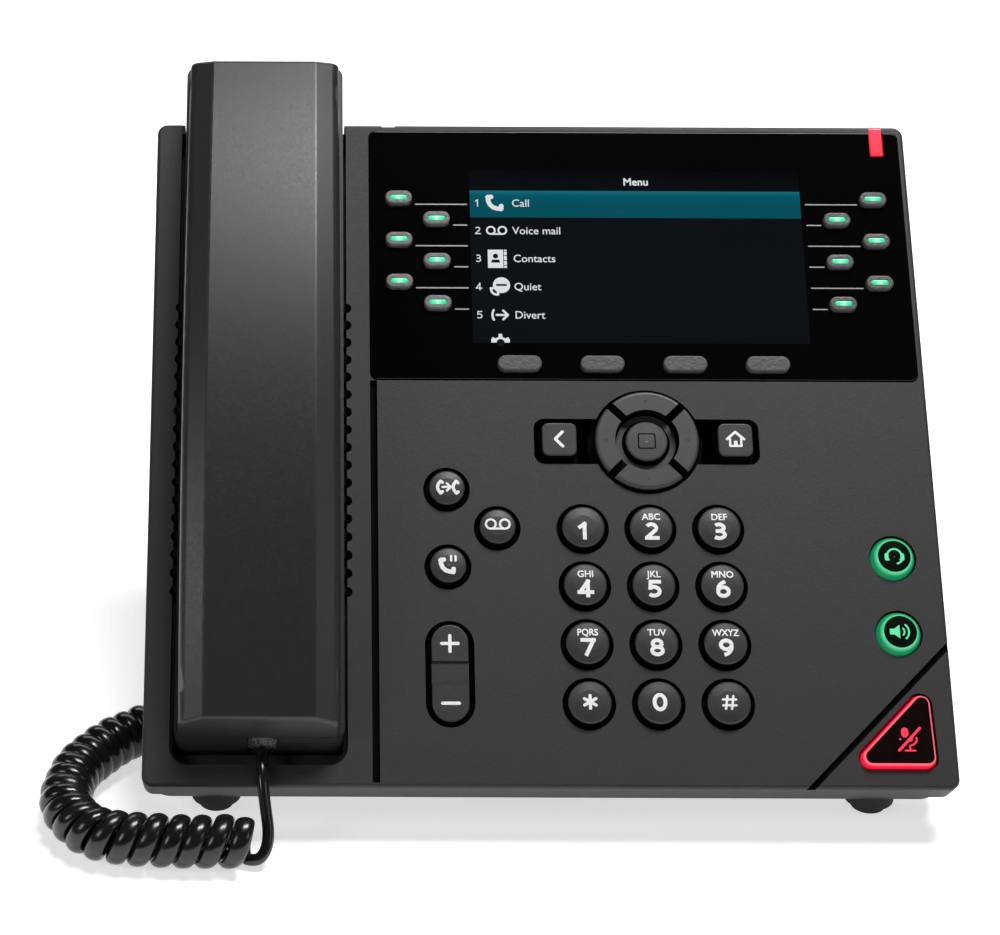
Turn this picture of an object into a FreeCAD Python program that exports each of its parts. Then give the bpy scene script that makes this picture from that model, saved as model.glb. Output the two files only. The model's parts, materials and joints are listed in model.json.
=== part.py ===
import FreeCAD, Part
import math
import os
import Sketcher

# Desk IP phone: a sloping housing with a cradle on the left, a glossy display
# panel, 42 keys, a handset with a curly cord, and a stand behind it.
#
# Frame of the whole part: +X to the user's right, +Y away from the user, +Z up.
# The origin lies on the desk, at the middle of the object's footprint.
# The housing's own pieces are drawn in the face frame, in which x runs across
# the face, y runs up the face from its bottom edge and z points out of it.

doc = FreeCAD.newDocument("DeskIpPhone")

SIZES = [
    # housing
    ("face_width", 216.9),
    ("face_height", 195.8),
    ("face_tilt", 45.0),
    ("face_corner", 3.0),
    ("face_edge_round", 1.1),
    ("upper_depth", 9.7),
    ("housing_depth", 28.0),
    ("front_wall_depth", 15.2),
    ("cover_wall", 2.6),
    ("rear_wall", 2.4),
    ("rear_inset", 0.8),
    ("rear_corner", 6.5),
    ("rest_height", 16.8),
    ("front_edge_y", -81.84),
    # cradle channel for the handset
    ("channel_left", -101.3),
    ("channel_right", -53.7),
    ("channel_foot", 5.9),
    ("channel_depth", 6.0),
    ("channel_floor", 2.0),
    ("grille_left", -102.1),
    ("grille_right", -52.3),
    ("grille_first", 53.8),
    ("grille_pitch", 5.2375),
    ("grille_slot", 2.9),
    # display panel
    ("panel_left", -47.2),
    ("panel_right", 106.7),
    ("panel_bottom", 116.15),
    ("panel_top", 193.75),
    ("panel_pocket", 1.6),
    ("panel_proud", 0.3),
    ("panel_corner", 2.2),
    ("module_middle", 29.4),
    ("module_width", 104.5),
    ("module_bottom", 124.2),
    ("module_height", 63.3),
    ("module_depth", 3.0),
    # keys
    ("key_height", 1.9),
    ("key_travel", 1.2),
    ("key_drop", 6.0),
    ("dial_middle", 29.46),
    ("dial_pitch_x", 18.59),
    ("dial_pitch_y", 16.42),
    ("dial_bottom", 22.86),
    ("dial_cap", 5.77),
    ("dial_well", 7.2),
    ("dial_flange", 7.9),
    ("function_cap", 4.87),
    ("function_well", 6.45),
    ("function_flange", 7.2),
    ("lit_base", 5.87),
    ("lit_top", 4.85),
    ("line_outer", 68.2),
    ("line_inner", 57.4),
    ("line_top", 171.75),
    ("line_step", 6.55),
    ("line_cap_width", 7.75),
    ("line_cap_height", 4.3),
    ("line_travel", 0.8),
    ("soft_first", -5.15),
    ("soft_pitch", 23.22),
    ("soft_level", 120.5),
    ("soft_cap_width", 12.4),
    ("soft_cap_height", 4.7),
    ("panel_key_gap", 0.3),
    ("nav_middle", 29.55),
    ("nav_level", 97.7),
    ("nav_well", 15.3),
    ("nav_pad_outer", 14.4),
    ("nav_pad_inner", 8.9),
    ("nav_web_outer", 8.3),
    ("nav_web_inner", 6.7),
    ("nav_gap", 2.3),
    ("select_cap", 5.8),
    ("side_slot_width", 62.6),
    ("side_slot_height", 13.4),
    ("side_key_reach", 24.4),
    ("side_key_size", 9.6),
    ("volume_x", -26.2),
    ("volume_level", 31.0),
    ("volume_well_width", 13.3),
    ("volume_well_height", 29.5),
    ("volume_cap_width", 10.0),
    ("volume_cap_height", 26.8),
    ("mute_round", 2.6),
    # handset
    ("handset_middle", -77.3),
    ("handset_width", 45.3),
    ("handset_rim", 1.2),
    ("handset_parting", 3.8),
    ("handset_arch", 25.0),
    ("handset_end", 13.0),
    ("handset_sole", -5.5),
    ("handset_grip", 1.0),
    ("handset_bottom", 9.5),
    ("handset_top", 215.35),
    ("handset_slant", 0.32),
    ("jack_x", -76.5),
    ("jack_level", 0.0),
    # cord
    ("lead_diameter", 3.2),
    ("coil_diameter", 14.6),
]


class Size:
    """A number that also carries the sheet formula it comes from."""

    def __init__(self, value, text):
        self.value = value
        self.text = text

    def __add__(self, other):
        other = as_size(other)
        return Size(self.value + other.value, f"({self.text} + {other.text})")

    def __sub__(self, other):
        other = as_size(other)
        return Size(self.value - other.value, f"({self.text} - {other.text})")

    def __mul__(self, other):
        other = as_size(other)
        return Size(self.value * other.value, f"({self.text} * {other.text})")

    def __truediv__(self, other):
        other = as_size(other)
        return Size(self.value / other.value, f"({self.text} / {other.text})")

    def __neg__(self):
        return Size(-self.value, f"(0 - {self.text})")

    def __radd__(self, other):
        return as_size(other) + self

    def __rsub__(self, other):
        return as_size(other) - self

    def __rmul__(self, other):
        return as_size(other) * self


def as_size(number):
    if isinstance(number, Size):
        return number
    return Size(float(number), f"({float(number):.6f})")


sheet = doc.addObject("Spreadsheet::Sheet", "Dims")
for row, (alias, value) in enumerate(SIZES, start=1):
    sheet.set(f"A{row}", alias.replace("_", " "))
    sheet.set(f"B{row}", str(value))
    sheet.setAlias(f"B{row}", alias)
doc.recompute()


class Dims:
    """Reads a driving dimension from the sheet as a Size."""

    def __getattr__(self, alias):
        return Size(float(sheet.get(alias)), f"Dims.{alias}")


d = Dims()
TILT = math.radians(d.face_tilt.value)
FACE = FreeCAD.Placement(
    FreeCAD.Vector(0, d.front_edge_y.value, d.rest_height.value),
    FreeCAD.Rotation(FreeCAD.Vector(1, 0, 0), d.face_tilt.value),
)
NODES = []


def keep(thing, label):
    thing.Label = label
    NODES.append(thing)
    return thing


def bind(thing, prop, size):
    thing.setExpression(prop, as_size(size).text)


def new_body(label, placement=FACE):
    body = doc.addObject("PartDesign::Body", label)
    body.Placement = placement
    body.AllowCompound = True
    return keep(body, label)


class Profile:
    """A sketch on one of a body's own origin planes, shifted along its normal."""

    def __init__(self, body, name, role="XY_Plane", shift=0):
        self.sketch = body.newObject("Sketcher::SketchObject", name)
        plane = [f for f in body.Origin.OriginFeatures if f.Role == role][0]
        self.sketch.AttachmentSupport = [(plane, "")]
        self.sketch.MapMode = "FlatFace"
        shift = as_size(shift)
        self.sketch.AttachmentOffset = FreeCAD.Placement(
            FreeCAD.Vector(0, 0, shift.value), FreeCAD.Rotation()
        )
        bind(self.sketch, "AttachmentOffset.Base.z", shift)

    def fix(self, kind, *where, size):
        size = as_size(size)
        index = self.sketch.addConstraint(
            Sketcher.Constraint(kind, *where, size.value)
        )
        bind(self.sketch, f"Constraints[{index}]", size)

    def at(self, geometry, point, x, y):
        """Place a point of the sketch by its two distances from the origin."""
        x = as_size(x)
        y = as_size(y)
        if abs(x.value) < 1e-9:
            self.rule("PointOnObject", geometry, point, -2)
        else:
            self.fix("DistanceX", -1, 1, geometry, point, size=x)
        if abs(y.value) < 1e-9:
            self.rule("PointOnObject", geometry, point, -1)
        else:
            self.fix("DistanceY", -1, 1, geometry, point, size=y)

    def rule(self, kind, *where):
        self.sketch.addConstraint(Sketcher.Constraint(kind, *where))

    def circle(self, x, y, radius):
        centre = FreeCAD.Vector(as_size(x).value, as_size(y).value, 0)
        ring = Part.Circle(centre, FreeCAD.Vector(0, 0, 1), as_size(radius).value)
        index = self.sketch.addGeometry(ring, False)
        self.at(index, 3, x, y)
        self.fix("Radius", index, size=radius)
        return self

    def poly(self, points):
        """A closed outline of straight lines through the given points."""
        sizes = [(as_size(x), as_size(y)) for x, y in points]
        spots = [FreeCAD.Vector(x.value, y.value, 0) for x, y in sizes]
        first = self.sketch.GeometryCount
        count = len(spots)
        for i in range(count):
            line = Part.LineSegment(spots[i], spots[(i + 1) % count])
            self.sketch.addGeometry(line, False)
        for i in range(count):
            self.rule("Coincident", first + i, 2, first + (i + 1) % count, 1)
        for i, (x, y) in enumerate(sizes):
            self.at(first + i, 1, x, y)
        return self

    def rect(self, left, bottom, right, top):
        return self.poly([(left, bottom), (right, bottom), (right, top), (left, top)])

    def hull(self, centres, radius):
        """Round corners of one radius about the centres (counterclockwise),
        joined by tangent lines."""
        radius = as_size(radius)
        sizes = [(as_size(x), as_size(y)) for x, y in centres]
        spots = [FreeCAD.Vector(x.value, y.value, 0) for x, y in sizes]
        count = len(spots)
        normals = []
        for i in range(count):
            run = spots[(i + 1) % count] - spots[i]
            normals.append(FreeCAD.Vector(run.y, -run.x, 0).normalize())
        first = self.sketch.GeometryCount
        for i in range(count):
            start = normals[i - 1]
            end = normals[i]
            a = math.atan2(start.y, start.x)
            b = math.atan2(end.y, end.x)
            if b < a:
                b += 2 * math.pi
            circle = Part.Circle(spots[i], FreeCAD.Vector(0, 0, 1), radius.value)
            self.sketch.addGeometry(Part.ArcOfCircle(circle, a, b), False)
            shift = normals[i] * radius.value
            line = Part.LineSegment(spots[i] + shift, spots[(i + 1) % count] + shift)
            self.sketch.addGeometry(line, False)
        for i in range(count):
            arc = first + 2 * i
            following = first + (2 * i + 2) % (2 * count)
            self.rule("Tangent", arc, 2, arc + 1, 1)
            self.rule("Tangent", arc + 1, 2, following, 1)
        for i, (x, y) in enumerate(sizes):
            self.at(first + 2 * i, 3, x, y)
            self.fix("Radius", first + 2 * i, size=radius)
        return self

    def rounded(self, left, bottom, right, top, radius):
        return self.hull(
            [
                (left + radius, bottom + radius),
                (right - radius, bottom + radius),
                (right - radius, top - radius),
                (left + radius, top - radius),
            ],
            radius,
        )

    def pill(self, x, y, width, height):
        """A slot with round ends, lying across or standing up."""
        x = as_size(x)
        y = as_size(y)
        width = as_size(width)
        height = as_size(height)
        reach = (width - height) / 2
        if reach.value > 0:
            return self.hull([(x - reach, y), (x + reach, y)], height / 2)
        return self.hull([(x, y + reach), (x, y - reach)], width / 2)


def pad(body, profile, length, name):
    feature = body.newObject("PartDesign::Pad", name)
    feature.Profile = profile.sketch
    feature.Length = as_size(length).value
    bind(feature, "Length", length)
    profile.sketch.Visibility = False
    doc.recompute()
    return feature


def pocket(body, profile, depth, name, upward=False):
    """Cut along the sketch's back side, or along its normal when upward."""
    before = body.Tip.Shape.Volume
    feature = body.newObject("PartDesign::Pocket", name)
    feature.Profile = profile.sketch
    feature.Length = as_size(depth).value
    bind(feature, "Length", depth)
    feature.Reversed = upward
    doc.recompute()
    if feature.Shape.Volume > before - 1e-3:
        raise ValueError(f"{body.Label}: {name} cuts nothing")
    return feature


def revolve(body, profile, name):
    feature = body.newObject("PartDesign::Revolution", name)
    feature.Profile = profile.sketch
    feature.ReferenceAxis = (profile.sketch, ["V_Axis"])
    feature.Angle = 360
    doc.recompute()
    return feature


def edges_where(body, test):
    shape = body.Tip.Shape
    return [f"Edge{i + 1}" for i, edge in enumerate(shape.Edges) if test(edge)]


def soften(body, test, radius, name):
    edges = edges_where(body, test)
    if not edges:
        raise ValueError(f"{body.Label}: {name} finds no edge")
    base = body.Tip
    feature = body.newObject("PartDesign::Fillet", name)
    feature.Base = (base, edges)
    feature.Radius = as_size(radius).value
    bind(feature, "Radius", radius)
    doc.recompute()
    return feature


def at_height(level):
    """Edges that lie wholly at one height of the face frame."""
    return lambda e: (
        abs(e.BoundBox.ZMin - level) < 1e-4 and abs(e.BoundBox.ZMax - level) < 1e-4
    )


# ---------------------------------------------------------------- positions

half_width = d.face_width / 2
dial_columns = [d.dial_middle + d.dial_pitch_x * i for i in (-1, 0, 1)]
dial_rows = [d.dial_bottom + d.dial_pitch_y * i for i in (3, 2, 1, 0)]
DIAL_NAMES = [
    ["key_1", "key_2", "key_3"],
    ["key_4", "key_5", "key_6"],
    ["key_7", "key_8", "key_9"],
    ["key_star", "key_0", "key_pound"],
]
dial_places = {}
for row_names, level in zip(DIAL_NAMES, dial_rows):
    for name, across in zip(row_names, dial_columns):
        dial_places[name] = (across, level)

function_places = {
    "transfer_key": (as_size(-26.28), as_size(83.33)),
    "messages_key": (as_size(-12.57), as_size(72.19)),
    "hold_key": (as_size(-26.26), as_size(61.05)),
}
lit_places = {
    "headset_key": (as_size(95.26), as_size(64.0)),
    "speaker_key": (as_size(95.26), as_size(42.7)),
}
mute_corners = [
    (as_size(85.2), as_size(8.4)),
    (as_size(99.8), as_size(8.4)),
    (as_size(99.3), as_size(22.8)),
]
line_places = {}
for number in range(6):
    level = d.line_top - d.line_step * number
    reach = d.line_outer if number % 2 == 0 else d.line_inner
    line_places[f"line_key_left_{number + 1}"] = (d.nav_middle - reach, level)
    line_places[f"line_key_right_{number + 1}"] = (d.nav_middle + reach, level)
soft_places = {
    f"soft_key_{i + 1}": (d.soft_first + d.soft_pitch * i, d.soft_level)
    for i in range(4)
}
side_places = {
    "back_key": (d.nav_middle - d.side_key_reach, d.nav_level),
    "home_key": (d.nav_middle + d.side_key_reach, d.nav_level),
}
boss_places = [(-48.0, 8.0), (58.0, 8.0), (-48.0, 110.0), (-48.3, 189.0), (100.0, 106.0)]

# ---------------------------------------------------------------- front cover

cover = new_body("front_cover")
outline = Profile(cover, "CoverOutline", shift=-d.upper_depth)
outline.rounded(-half_width, 0, half_width, d.face_height, d.face_corner)
pad(cover, outline, d.upper_depth, "CoverSlab")
soften(cover, at_height(0.0), d.face_edge_round, "CoverRim")
inner = Profile(cover, "CoverInner", shift=-d.upper_depth)
inner.rounded(
    d.cover_wall - half_width, d.cover_wall,
    half_width - d.cover_wall, d.face_height - d.cover_wall, 1.5,
)
pocket(cover, inner, d.upper_depth - d.cover_wall, "CoverCavity", upward=True)

trough_depth = d.channel_depth + d.channel_floor
trough = Profile(cover, "TroughOutline", shift=-trough_depth)
trough.rect(
    d.channel_left - 2, d.channel_foot - 2, d.channel_right + 2, d.face_height - 1
)
pad(cover, trough, trough_depth - 1.5, "Trough")
channel = Profile(cover, "ChannelOutline")
channel.rounded(
    d.channel_left, d.channel_foot, d.channel_right, d.face_height + 12, 5.0
)
pocket(cover, channel, d.channel_depth, "Channel")
stops = Profile(cover, "ChannelStops", shift=-d.channel_depth)
for near, far in ((d.channel_left, -100.4), (-54.2, d.channel_right)):
    stops.rect(near, d.face_height - 3, far, d.face_height - 0.2)
pad(cover, stops, d.channel_depth - 0.6, "ChannelStopPads")
slots = Profile(cover, "GrilleSlots")
for i in range(17):
    slots.pill(
        (d.grille_left + d.grille_right) / 2,
        d.grille_first + d.grille_pitch * i,
        d.grille_right - d.grille_left,
        d.grille_slot,
    )
pocket(cover, slots, 12, "Grille")

panel_seat = Profile(cover, "PanelSeat")
panel_seat.rounded(
    d.panel_left, d.panel_bottom - 0.4, d.panel_right, d.panel_top, d.panel_corner
)
pocket(cover, panel_seat, d.panel_pocket, "PanelPocket")
panel_hole = Profile(cover, "PanelOpening")
panel_hole.rect(-44.6, d.panel_bottom + 1.05, 104.1, 191.0)
pocket(cover, panel_hole, 6, "PanelWindow")

wells = Profile(cover, "RoundWells")
for across, level in dial_places.values():
    wells.circle(across, level, d.dial_well)
for across, level in function_places.values():
    wells.circle(across, level, d.function_well)
for across, level in lit_places.values():
    wells.circle(across, level, d.function_well)
wells.pill(d.volume_x, d.volume_level, d.volume_well_width, d.volume_well_height)
wells.hull(mute_corners, d.mute_round + 0.75)
pocket(cover, wells, 6, "KeyWells")

side_slot = Profile(cover, "SideSlot")
side_slot.rounded(
    d.nav_middle - d.side_slot_width / 2, d.nav_level - d.side_slot_height / 2,
    d.nav_middle + d.side_slot_width / 2, d.nav_level + d.side_slot_height / 2, 2.9,
)
pocket(cover, side_slot, 6, "SideSlotCut")
nav_round = Profile(cover, "NavRound")
nav_round.circle(d.nav_middle, d.nav_level, d.nav_well)
pocket(cover, nav_round, 6, "NavWell")

# The web between the navigation pads: two crossed bars and a ring, set low.
WEB_TOP = -1.6
WEB_DEPTH = 1.6
diagonal = math.sqrt(0.5)
for number, side in enumerate((1, -1)):
    bar = Profile(cover, f"WebBar{number}", shift=WEB_TOP - WEB_DEPTH)
    long = (d.nav_well + 1.4) * diagonal
    wide = (d.nav_gap - 0.6) / 2 * diagonal
    bar.poly([
        (d.nav_middle - long - wide, d.nav_level - (long - wide) * side),
        (d.nav_middle - long + wide, d.nav_level - (long + wide) * side),
        (d.nav_middle + long + wide, d.nav_level + (long - wide) * side),
        (d.nav_middle + long - wide, d.nav_level + (long + wide) * side),
    ])
    pad(cover, bar, WEB_DEPTH, f"Web{number}")
hub = Profile(cover, "WebHub", shift=WEB_TOP - WEB_DEPTH)
hub.circle(d.nav_middle, d.nav_level, d.nav_web_outer)
pad(cover, hub, WEB_DEPTH, "WebRing")
hub_hole = Profile(cover, "WebHole", shift=2)
hub_hole.circle(d.nav_middle, d.nav_level, d.nav_web_inner)
pocket(cover, hub_hole, 9, "WebBore")

groove = Profile(cover, "UprightGroove")
groove.rect(-47.2, 1.3, -45.2, d.panel_bottom - 0.4)
pocket(cover, groove, 1.2, "Groove")
slash = Profile(cover, "SlashGroove")
slash.poly([
    (66.7, -1.0), (69.0, -1.0), (109.5, 39.5), (109.5, 41.8),
])
pocket(cover, slash, 1.2, "Slash")
lamp_gap = Profile(cover, "LampGap")
lamp_gap.rect(98.5, 186.2, 102.1, d.face_height + 1)
pocket(cover, lamp_gap, 3.2, "LampNotch")
top_notch = Profile(cover, "TopNotch", shift=1)
top_notch.rect(-43.2, d.face_height - 0.75, -39.4, d.face_height + 1)
pocket(cover, top_notch, 12, "TopNotchCut")
mic_slot = Profile(cover, "MicSlot", shift=-d.upper_depth)
mic_slot.rect(63.7, -1, 65.5, 4)
pocket(cover, mic_slot, 1.0, "MicNotch", upward=True)
bosses = Profile(cover, "BossOutlines", shift=-d.upper_depth)
for x, y in boss_places:
    bosses.circle(x, y, 2.6)
pad(cover, bosses, d.upper_depth - 2.2, "Bosses")
boss_bores = Profile(cover, "BossBores", shift=-d.upper_depth)
for x, y in boss_places:
    boss_bores.circle(x, y, 1.0)
pocket(cover, boss_bores, 5.5, "BossHoles", upward=True)

# ---------------------------------------------------------------- rear cover

rear = new_body("rear_cover")
inset = d.rear_inset
rear_outline = Profile(rear, "RearOutline", shift=-d.housing_depth)
rear_outline.rounded(
    inset - half_width, inset, half_width - inset, d.face_height - inset, d.rear_corner
)
pad(rear, rear_outline, d.housing_depth - d.upper_depth, "RearSlab")
foot_bevel = Profile(rear, "FootBevel", "YZ_Plane", shift=half_width + 1)
reach = as_size(34.0)
foot_bevel.poly([
    (-6, 6 - d.front_wall_depth), (-6, -reach - 6), (reach + 6 - d.front_wall_depth, -reach - 6),
])
pocket(rear, foot_bevel, d.face_width + 2, "FootBevelCut")
soften(rear, at_height(-28.0), 2.0, "RearRim")
rear_inner = Profile(rear, "RearInner", shift=-d.upper_depth)
thick = inset + d.rear_wall
rear_inner.rounded(
    thick - half_width, thick, half_width - thick, d.face_height - thick, 3.0
)
pocket(rear, rear_inner, 3.0, "RearShallow")
rear_deep = Profile(rear, "RearDeep", shift=-d.upper_depth - 3)
rear_deep.rounded(thick - half_width, 16.5, half_width - thick, d.face_height - thick, 3.0)
pocket(rear, rear_deep, d.housing_depth - d.rear_wall - d.upper_depth - 3, "RearCavity")

# The socket bay: a walled hollow in the back that the cables reach into.
BAY_LEFT = -36.0
BAY_RIGHT = 92.0
BAY_LOW = 52.0
BAY_HIGH = 84.0
BAY_ROOF = -15.0
bay_block = Profile(rear, "BayBlock", shift=-26.5)
bay_block.rect(BAY_LEFT - 2, BAY_LOW - 2, BAY_RIGHT + 2, BAY_HIGH + 2)
pad(rear, bay_block, 26.5 + BAY_ROOF + 2, "BayWalls")
bay = Profile(rear, "BayOutline", shift=-32)
bay.rect(BAY_LEFT, BAY_LOW, BAY_RIGHT, BAY_HIGH)
pocket(rear, bay, 32 + BAY_ROOF, "Bay", upward=True)

# Sockets, left to right: centre across, opening width, opening height,
# housing width, housing depth.
SOCKETS = [
    ("Handset", -24.0, 8.0, 7.2, 12.6, 14.0),
    ("Headset", -4.0, 8.0, 7.2, 12.6, 14.0),
    ("Network", 22.0, 11.9, 8.2, 16.2, 16.0),
    ("Computer", 44.0, 11.9, 8.2, 16.2, 16.0),
    ("Power", 72.0, 6.6, 6.6, 10.0, 13.0),
]
SOCKET_LOW = -24.4
SOCKET_TOP = -12.2
socket_cuts = Profile(rear, "SocketCuts", "XZ_Plane", shift=-BAY_HIGH + 1)
for _, across, _, _, wide, _ in SOCKETS:
    socket_cuts.rect(
        across - wide / 2 - 0.3, SOCKET_LOW - 0.3, across + wide / 2 + 0.3, SOCKET_TOP + 1.3
    )
pocket(rear, socket_cuts, 5, "SocketWindows")

vents = Profile(rear, "VentSlots", shift=-29)
for i in range(9):
    vents.pill(-60 + 15 * i, 178, 3.0, 14.0)
for i in range(9):
    vents.pill(-60 + 15 * i, 38, 3.0, 12.0)
pocket(rear, vents, 5, "Vents", upward=True)
speaker_vents = Profile(rear, "SpeakerVents", shift=-29)
for i in range(6):
    speaker_vents.pill(-92 + 6 * i, 92, 2.4, 22.0)
pocket(rear, speaker_vents, 5, "SpeakerSlots", upward=True)
keyholes = Profile(rear, "KeyholeRound", shift=-29)
keyholes.circle(-80, 150, 4.2)
keyholes.circle(80, 150, 4.2)
pocket(rear, keyholes, 5, "WallHoles", upward=True)
key_necks = Profile(rear, "KeyholeNeck", shift=-29)
key_necks.pill(-80, 155.5, 4.2, 13)
key_necks.pill(80, 155.5, 4.2, 13)
pocket(rear, key_necks, 5, "WallNecks", upward=True)
posts = Profile(rear, "PostOutlines", shift=-26.5)
for x, y in boss_places:
    if y > 16:
        posts.circle(x, y, 3.0)
pad(rear, posts, 26.5 - d.upper_depth - 0.05, "Posts")
screw_sinks = Profile(rear, "ScrewSinks", shift=-30)
for x, y in boss_places:
    if y > 16:
        screw_sinks.circle(x, y, 2.3)
pocket(rear, screw_sinks, 15, "ScrewWells", upward=True)

# ---------------------------------------------------------------- display

window = new_body("display_window")
window_back = -d.panel_pocket
window_outline = Profile(window, "WindowOutline", shift=window_back)
window_outline.rounded(
    d.panel_left + 0.2, d.panel_bottom, d.panel_right - 0.2, d.panel_top - 0.2,
    d.panel_corner - 0.2,
)
pad(window, window_outline, d.panel_pocket + d.panel_proud, "WindowPlate")
soften(window, at_height(0.3), 0.25, "WindowEdge")
key_holes = Profile(window, "WindowHoles", shift=1)
for across, level in line_places.values():
    key_holes.pill(
        across, level,
        d.line_cap_width + d.panel_key_gap * 2, d.line_cap_height + d.panel_key_gap * 2,
    )
for across, level in soft_places.values():
    key_holes.pill(
        across, level,
        d.soft_cap_width + d.panel_key_gap * 2, d.soft_cap_height + d.panel_key_gap * 2,
    )
pocket(window, key_holes, 4, "WindowKeyHoles")
window_notch = Profile(window, "WindowNotch", shift=1)
window_notch.rect(98.3, 186.0, 102.3, d.panel_top + 1)
pocket(window, window_notch, 4, "WindowLampNotch")

module = doc.addObject("Part::Box", "display_module")
bind(module, "Length", d.module_width)
bind(module, "Width", d.module_height)
bind(module, "Height", d.module_depth)
module.Placement = FACE.multiply(FreeCAD.Placement(
    FreeCAD.Vector(
        d.module_middle.value - d.module_width.value / 2,
        d.module_bottom.value,
        -d.panel_pocket.value - 0.1 - d.module_depth.value,
    ),
    FreeCAD.Rotation(),
))
keep(module, "display_module")

lamp = new_body("message_lamp")
lamp_face = Profile(lamp, "LampFace", shift=-3.0)
lamp_face.rect(98.65, 186.35, 101.95, d.face_height + 0.05)
pad(lamp, lamp_face, 3.35, "LampBar")
soften(
    lamp,
    lambda e: abs(e.BoundBox.ZMin - 0.35) < 1e-4 and e.BoundBox.YMin > 195.0,
    1.2, "LampEdge",
)
lamp_stem = Profile(lamp, "LampStem", shift=-10.4)
lamp_stem.rect(98.9, 187.0, 101.7, 190.6)
pad(lamp, lamp_stem, 8.0, "LampGuide")

# ---------------------------------------------------------------- keys

under_cover = -d.cover_wall - 0.2
under_panel = -d.panel_pocket - 0.2


def round_key(label, place, cap, flange, base=None, dome=0.45):
    """A turned key: a cap, straight or tapered, on a wider retaining flange."""
    body = new_body(label, FACE.multiply(FreeCAD.Placement(
        FreeCAD.Vector(place[0].value, place[1].value, 0), FreeCAD.Rotation()
    )))
    base = cap if base is None else base
    top = d.key_height
    half = Profile(body, "KeyHalf", "XZ_Plane")
    half.poly([
        (0, -d.key_drop),
        (cap - 1.5, -d.key_drop),
        (cap - 1.5, under_cover - 1),
        (flange, under_cover - 1),
        (flange, under_cover),
        (base, under_cover),
        (base, -0.2),
        (cap, top - 0.3),
        (cap - 0.4, top),
        (cap * 0.55, top + dome * 0.7),
        (0, top + dome),
    ])
    revolve(body, half, "KeyTurned")
    return body


for name, place in dial_places.items():
    round_key(name, place, d.dial_cap, d.dial_flange)
for name, place in function_places.items():
    round_key(name, place, d.function_cap, d.function_flange)
for name, place in lit_places.items():
    round_key(name, place, d.lit_top, d.function_flange, base=d.lit_base, dome=0.1)


def panel_key(label, place, width, height):
    """A pill-shaped key that comes up through the glossy panel."""
    body = new_body(label, FACE.multiply(FreeCAD.Placement(
        FreeCAD.Vector(place[0].value, place[1].value, 0), FreeCAD.Rotation()
    )))
    stem = Profile(body, "KeyStem", shift=-d.key_drop)
    stem.rect(1.4 - width / 2, 0.9 - height / 2, width / 2 - 1.4, height / 2 - 0.9)
    pad(body, stem, d.key_drop - 2.2, "Stem")
    flange = Profile(body, "KeyFlange", shift=under_panel - 0.8)
    flange.pill(0, 0, width + 1.2, height + 1.2)
    pad(body, flange, 0.8, "Flange")
    cap = Profile(body, "KeyCap", shift=under_panel - 0.2)
    cap.pill(0, 0, width, height)
    pad(body, cap, d.key_height - under_panel + 0.2, "Cap")
    soften(body, at_height(d.key_height.value), 0.5, "CapEdge")
    return body


for name, place in line_places.items():
    key = panel_key(name, place, d.line_cap_width, d.line_cap_height)
    light = Profile(key, "LightWindow", shift=d.key_height)
    light.pill(0, 0, 5.1, 1.6)
    pocket(key, light, 0.3, "LightRecess")
for name, place in soft_places.items():
    panel_key(name, place, d.soft_cap_width, d.soft_cap_height)

NAV_PLACE = FACE.multiply(FreeCAD.Placement(
    FreeCAD.Vector(d.nav_middle.value, d.nav_level.value, 0), FreeCAD.Rotation()
))
PAD_TOP = 1.6
for name, turn in (
    ("nav_right_key", 0), ("nav_up_key", 90), ("nav_left_key", 180), ("nav_down_key", 270)
):
    # A quarter of a ring: a disc sector cut back by the web's bars and hub.
    spin = FreeCAD.Placement(
        FreeCAD.Vector(0, 0, 0), FreeCAD.Rotation(FreeCAD.Vector(0, 0, 1), turn)
    )
    body = new_body(name, NAV_PLACE.multiply(spin))
    apex = d.nav_gap / 2 * math.sqrt(2)
    far = 21.0
    disc = Profile(body, "PadDisc", shift=-2.6)
    disc.circle(0, 0, d.nav_pad_outer)
    disc.circle(0, 0, d.nav_pad_inner)
    pad(body, disc, PAD_TOP + 2.6, "PadRing")
    soften(
        body,
        lambda e: at_height(PAD_TOP)(e) and e.BoundBox.XLength > 20,
        0.9, "PadEdge",
    )
    flange_ring = Profile(body, "PadFlange", shift=-4.6)
    flange_ring.circle(0, 0, d.nav_well + 0.7)
    flange_ring.circle(0, 0, d.nav_pad_inner)
    pad(body, flange_ring, 1.2, "Flange")
    neck = Profile(body, "PadNeck", shift=-4.0)
    neck.circle(0, 0, d.nav_pad_outer - 1)
    neck.circle(0, 0, d.nav_pad_inner)
    pad(body, neck, 2.0, "Neck")
    for side in (1, -1):
        keepout = Profile(body, f"Keepout{side + 1}", shift=4)
        keepout.poly([
            (apex, 0.0), (apex + far, far * side), (-far, far * side * 1.2), (-far, 0.0),
        ])
        pocket(body, keepout, 12, f"Trim{side + 1}")

select = new_body("select_key", NAV_PLACE)
half = Profile(select, "SelectHalf", "XZ_Plane")
half.poly([
    (0, -d.key_drop), (4.0, -d.key_drop), (4.0, -4.6), (7.6, -4.6), (7.6, -3.6),
    (d.select_cap, -3.6), (d.select_cap, 0.1), (d.select_cap - 0.4, 0.45), (0, 0.6),
])
revolve(select, half, "SelectTurned")
frame_cut = Profile(select, "SelectFrame", shift=2)
frame_cut.rounded(-2.5, -2.3, 2.5, 2.3, 0.6)
frame_cut.rounded(-2.15, -1.95, 2.15, 1.95, 0.4)
pocket(select, frame_cut, 1.7, "SelectMark")

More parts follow.
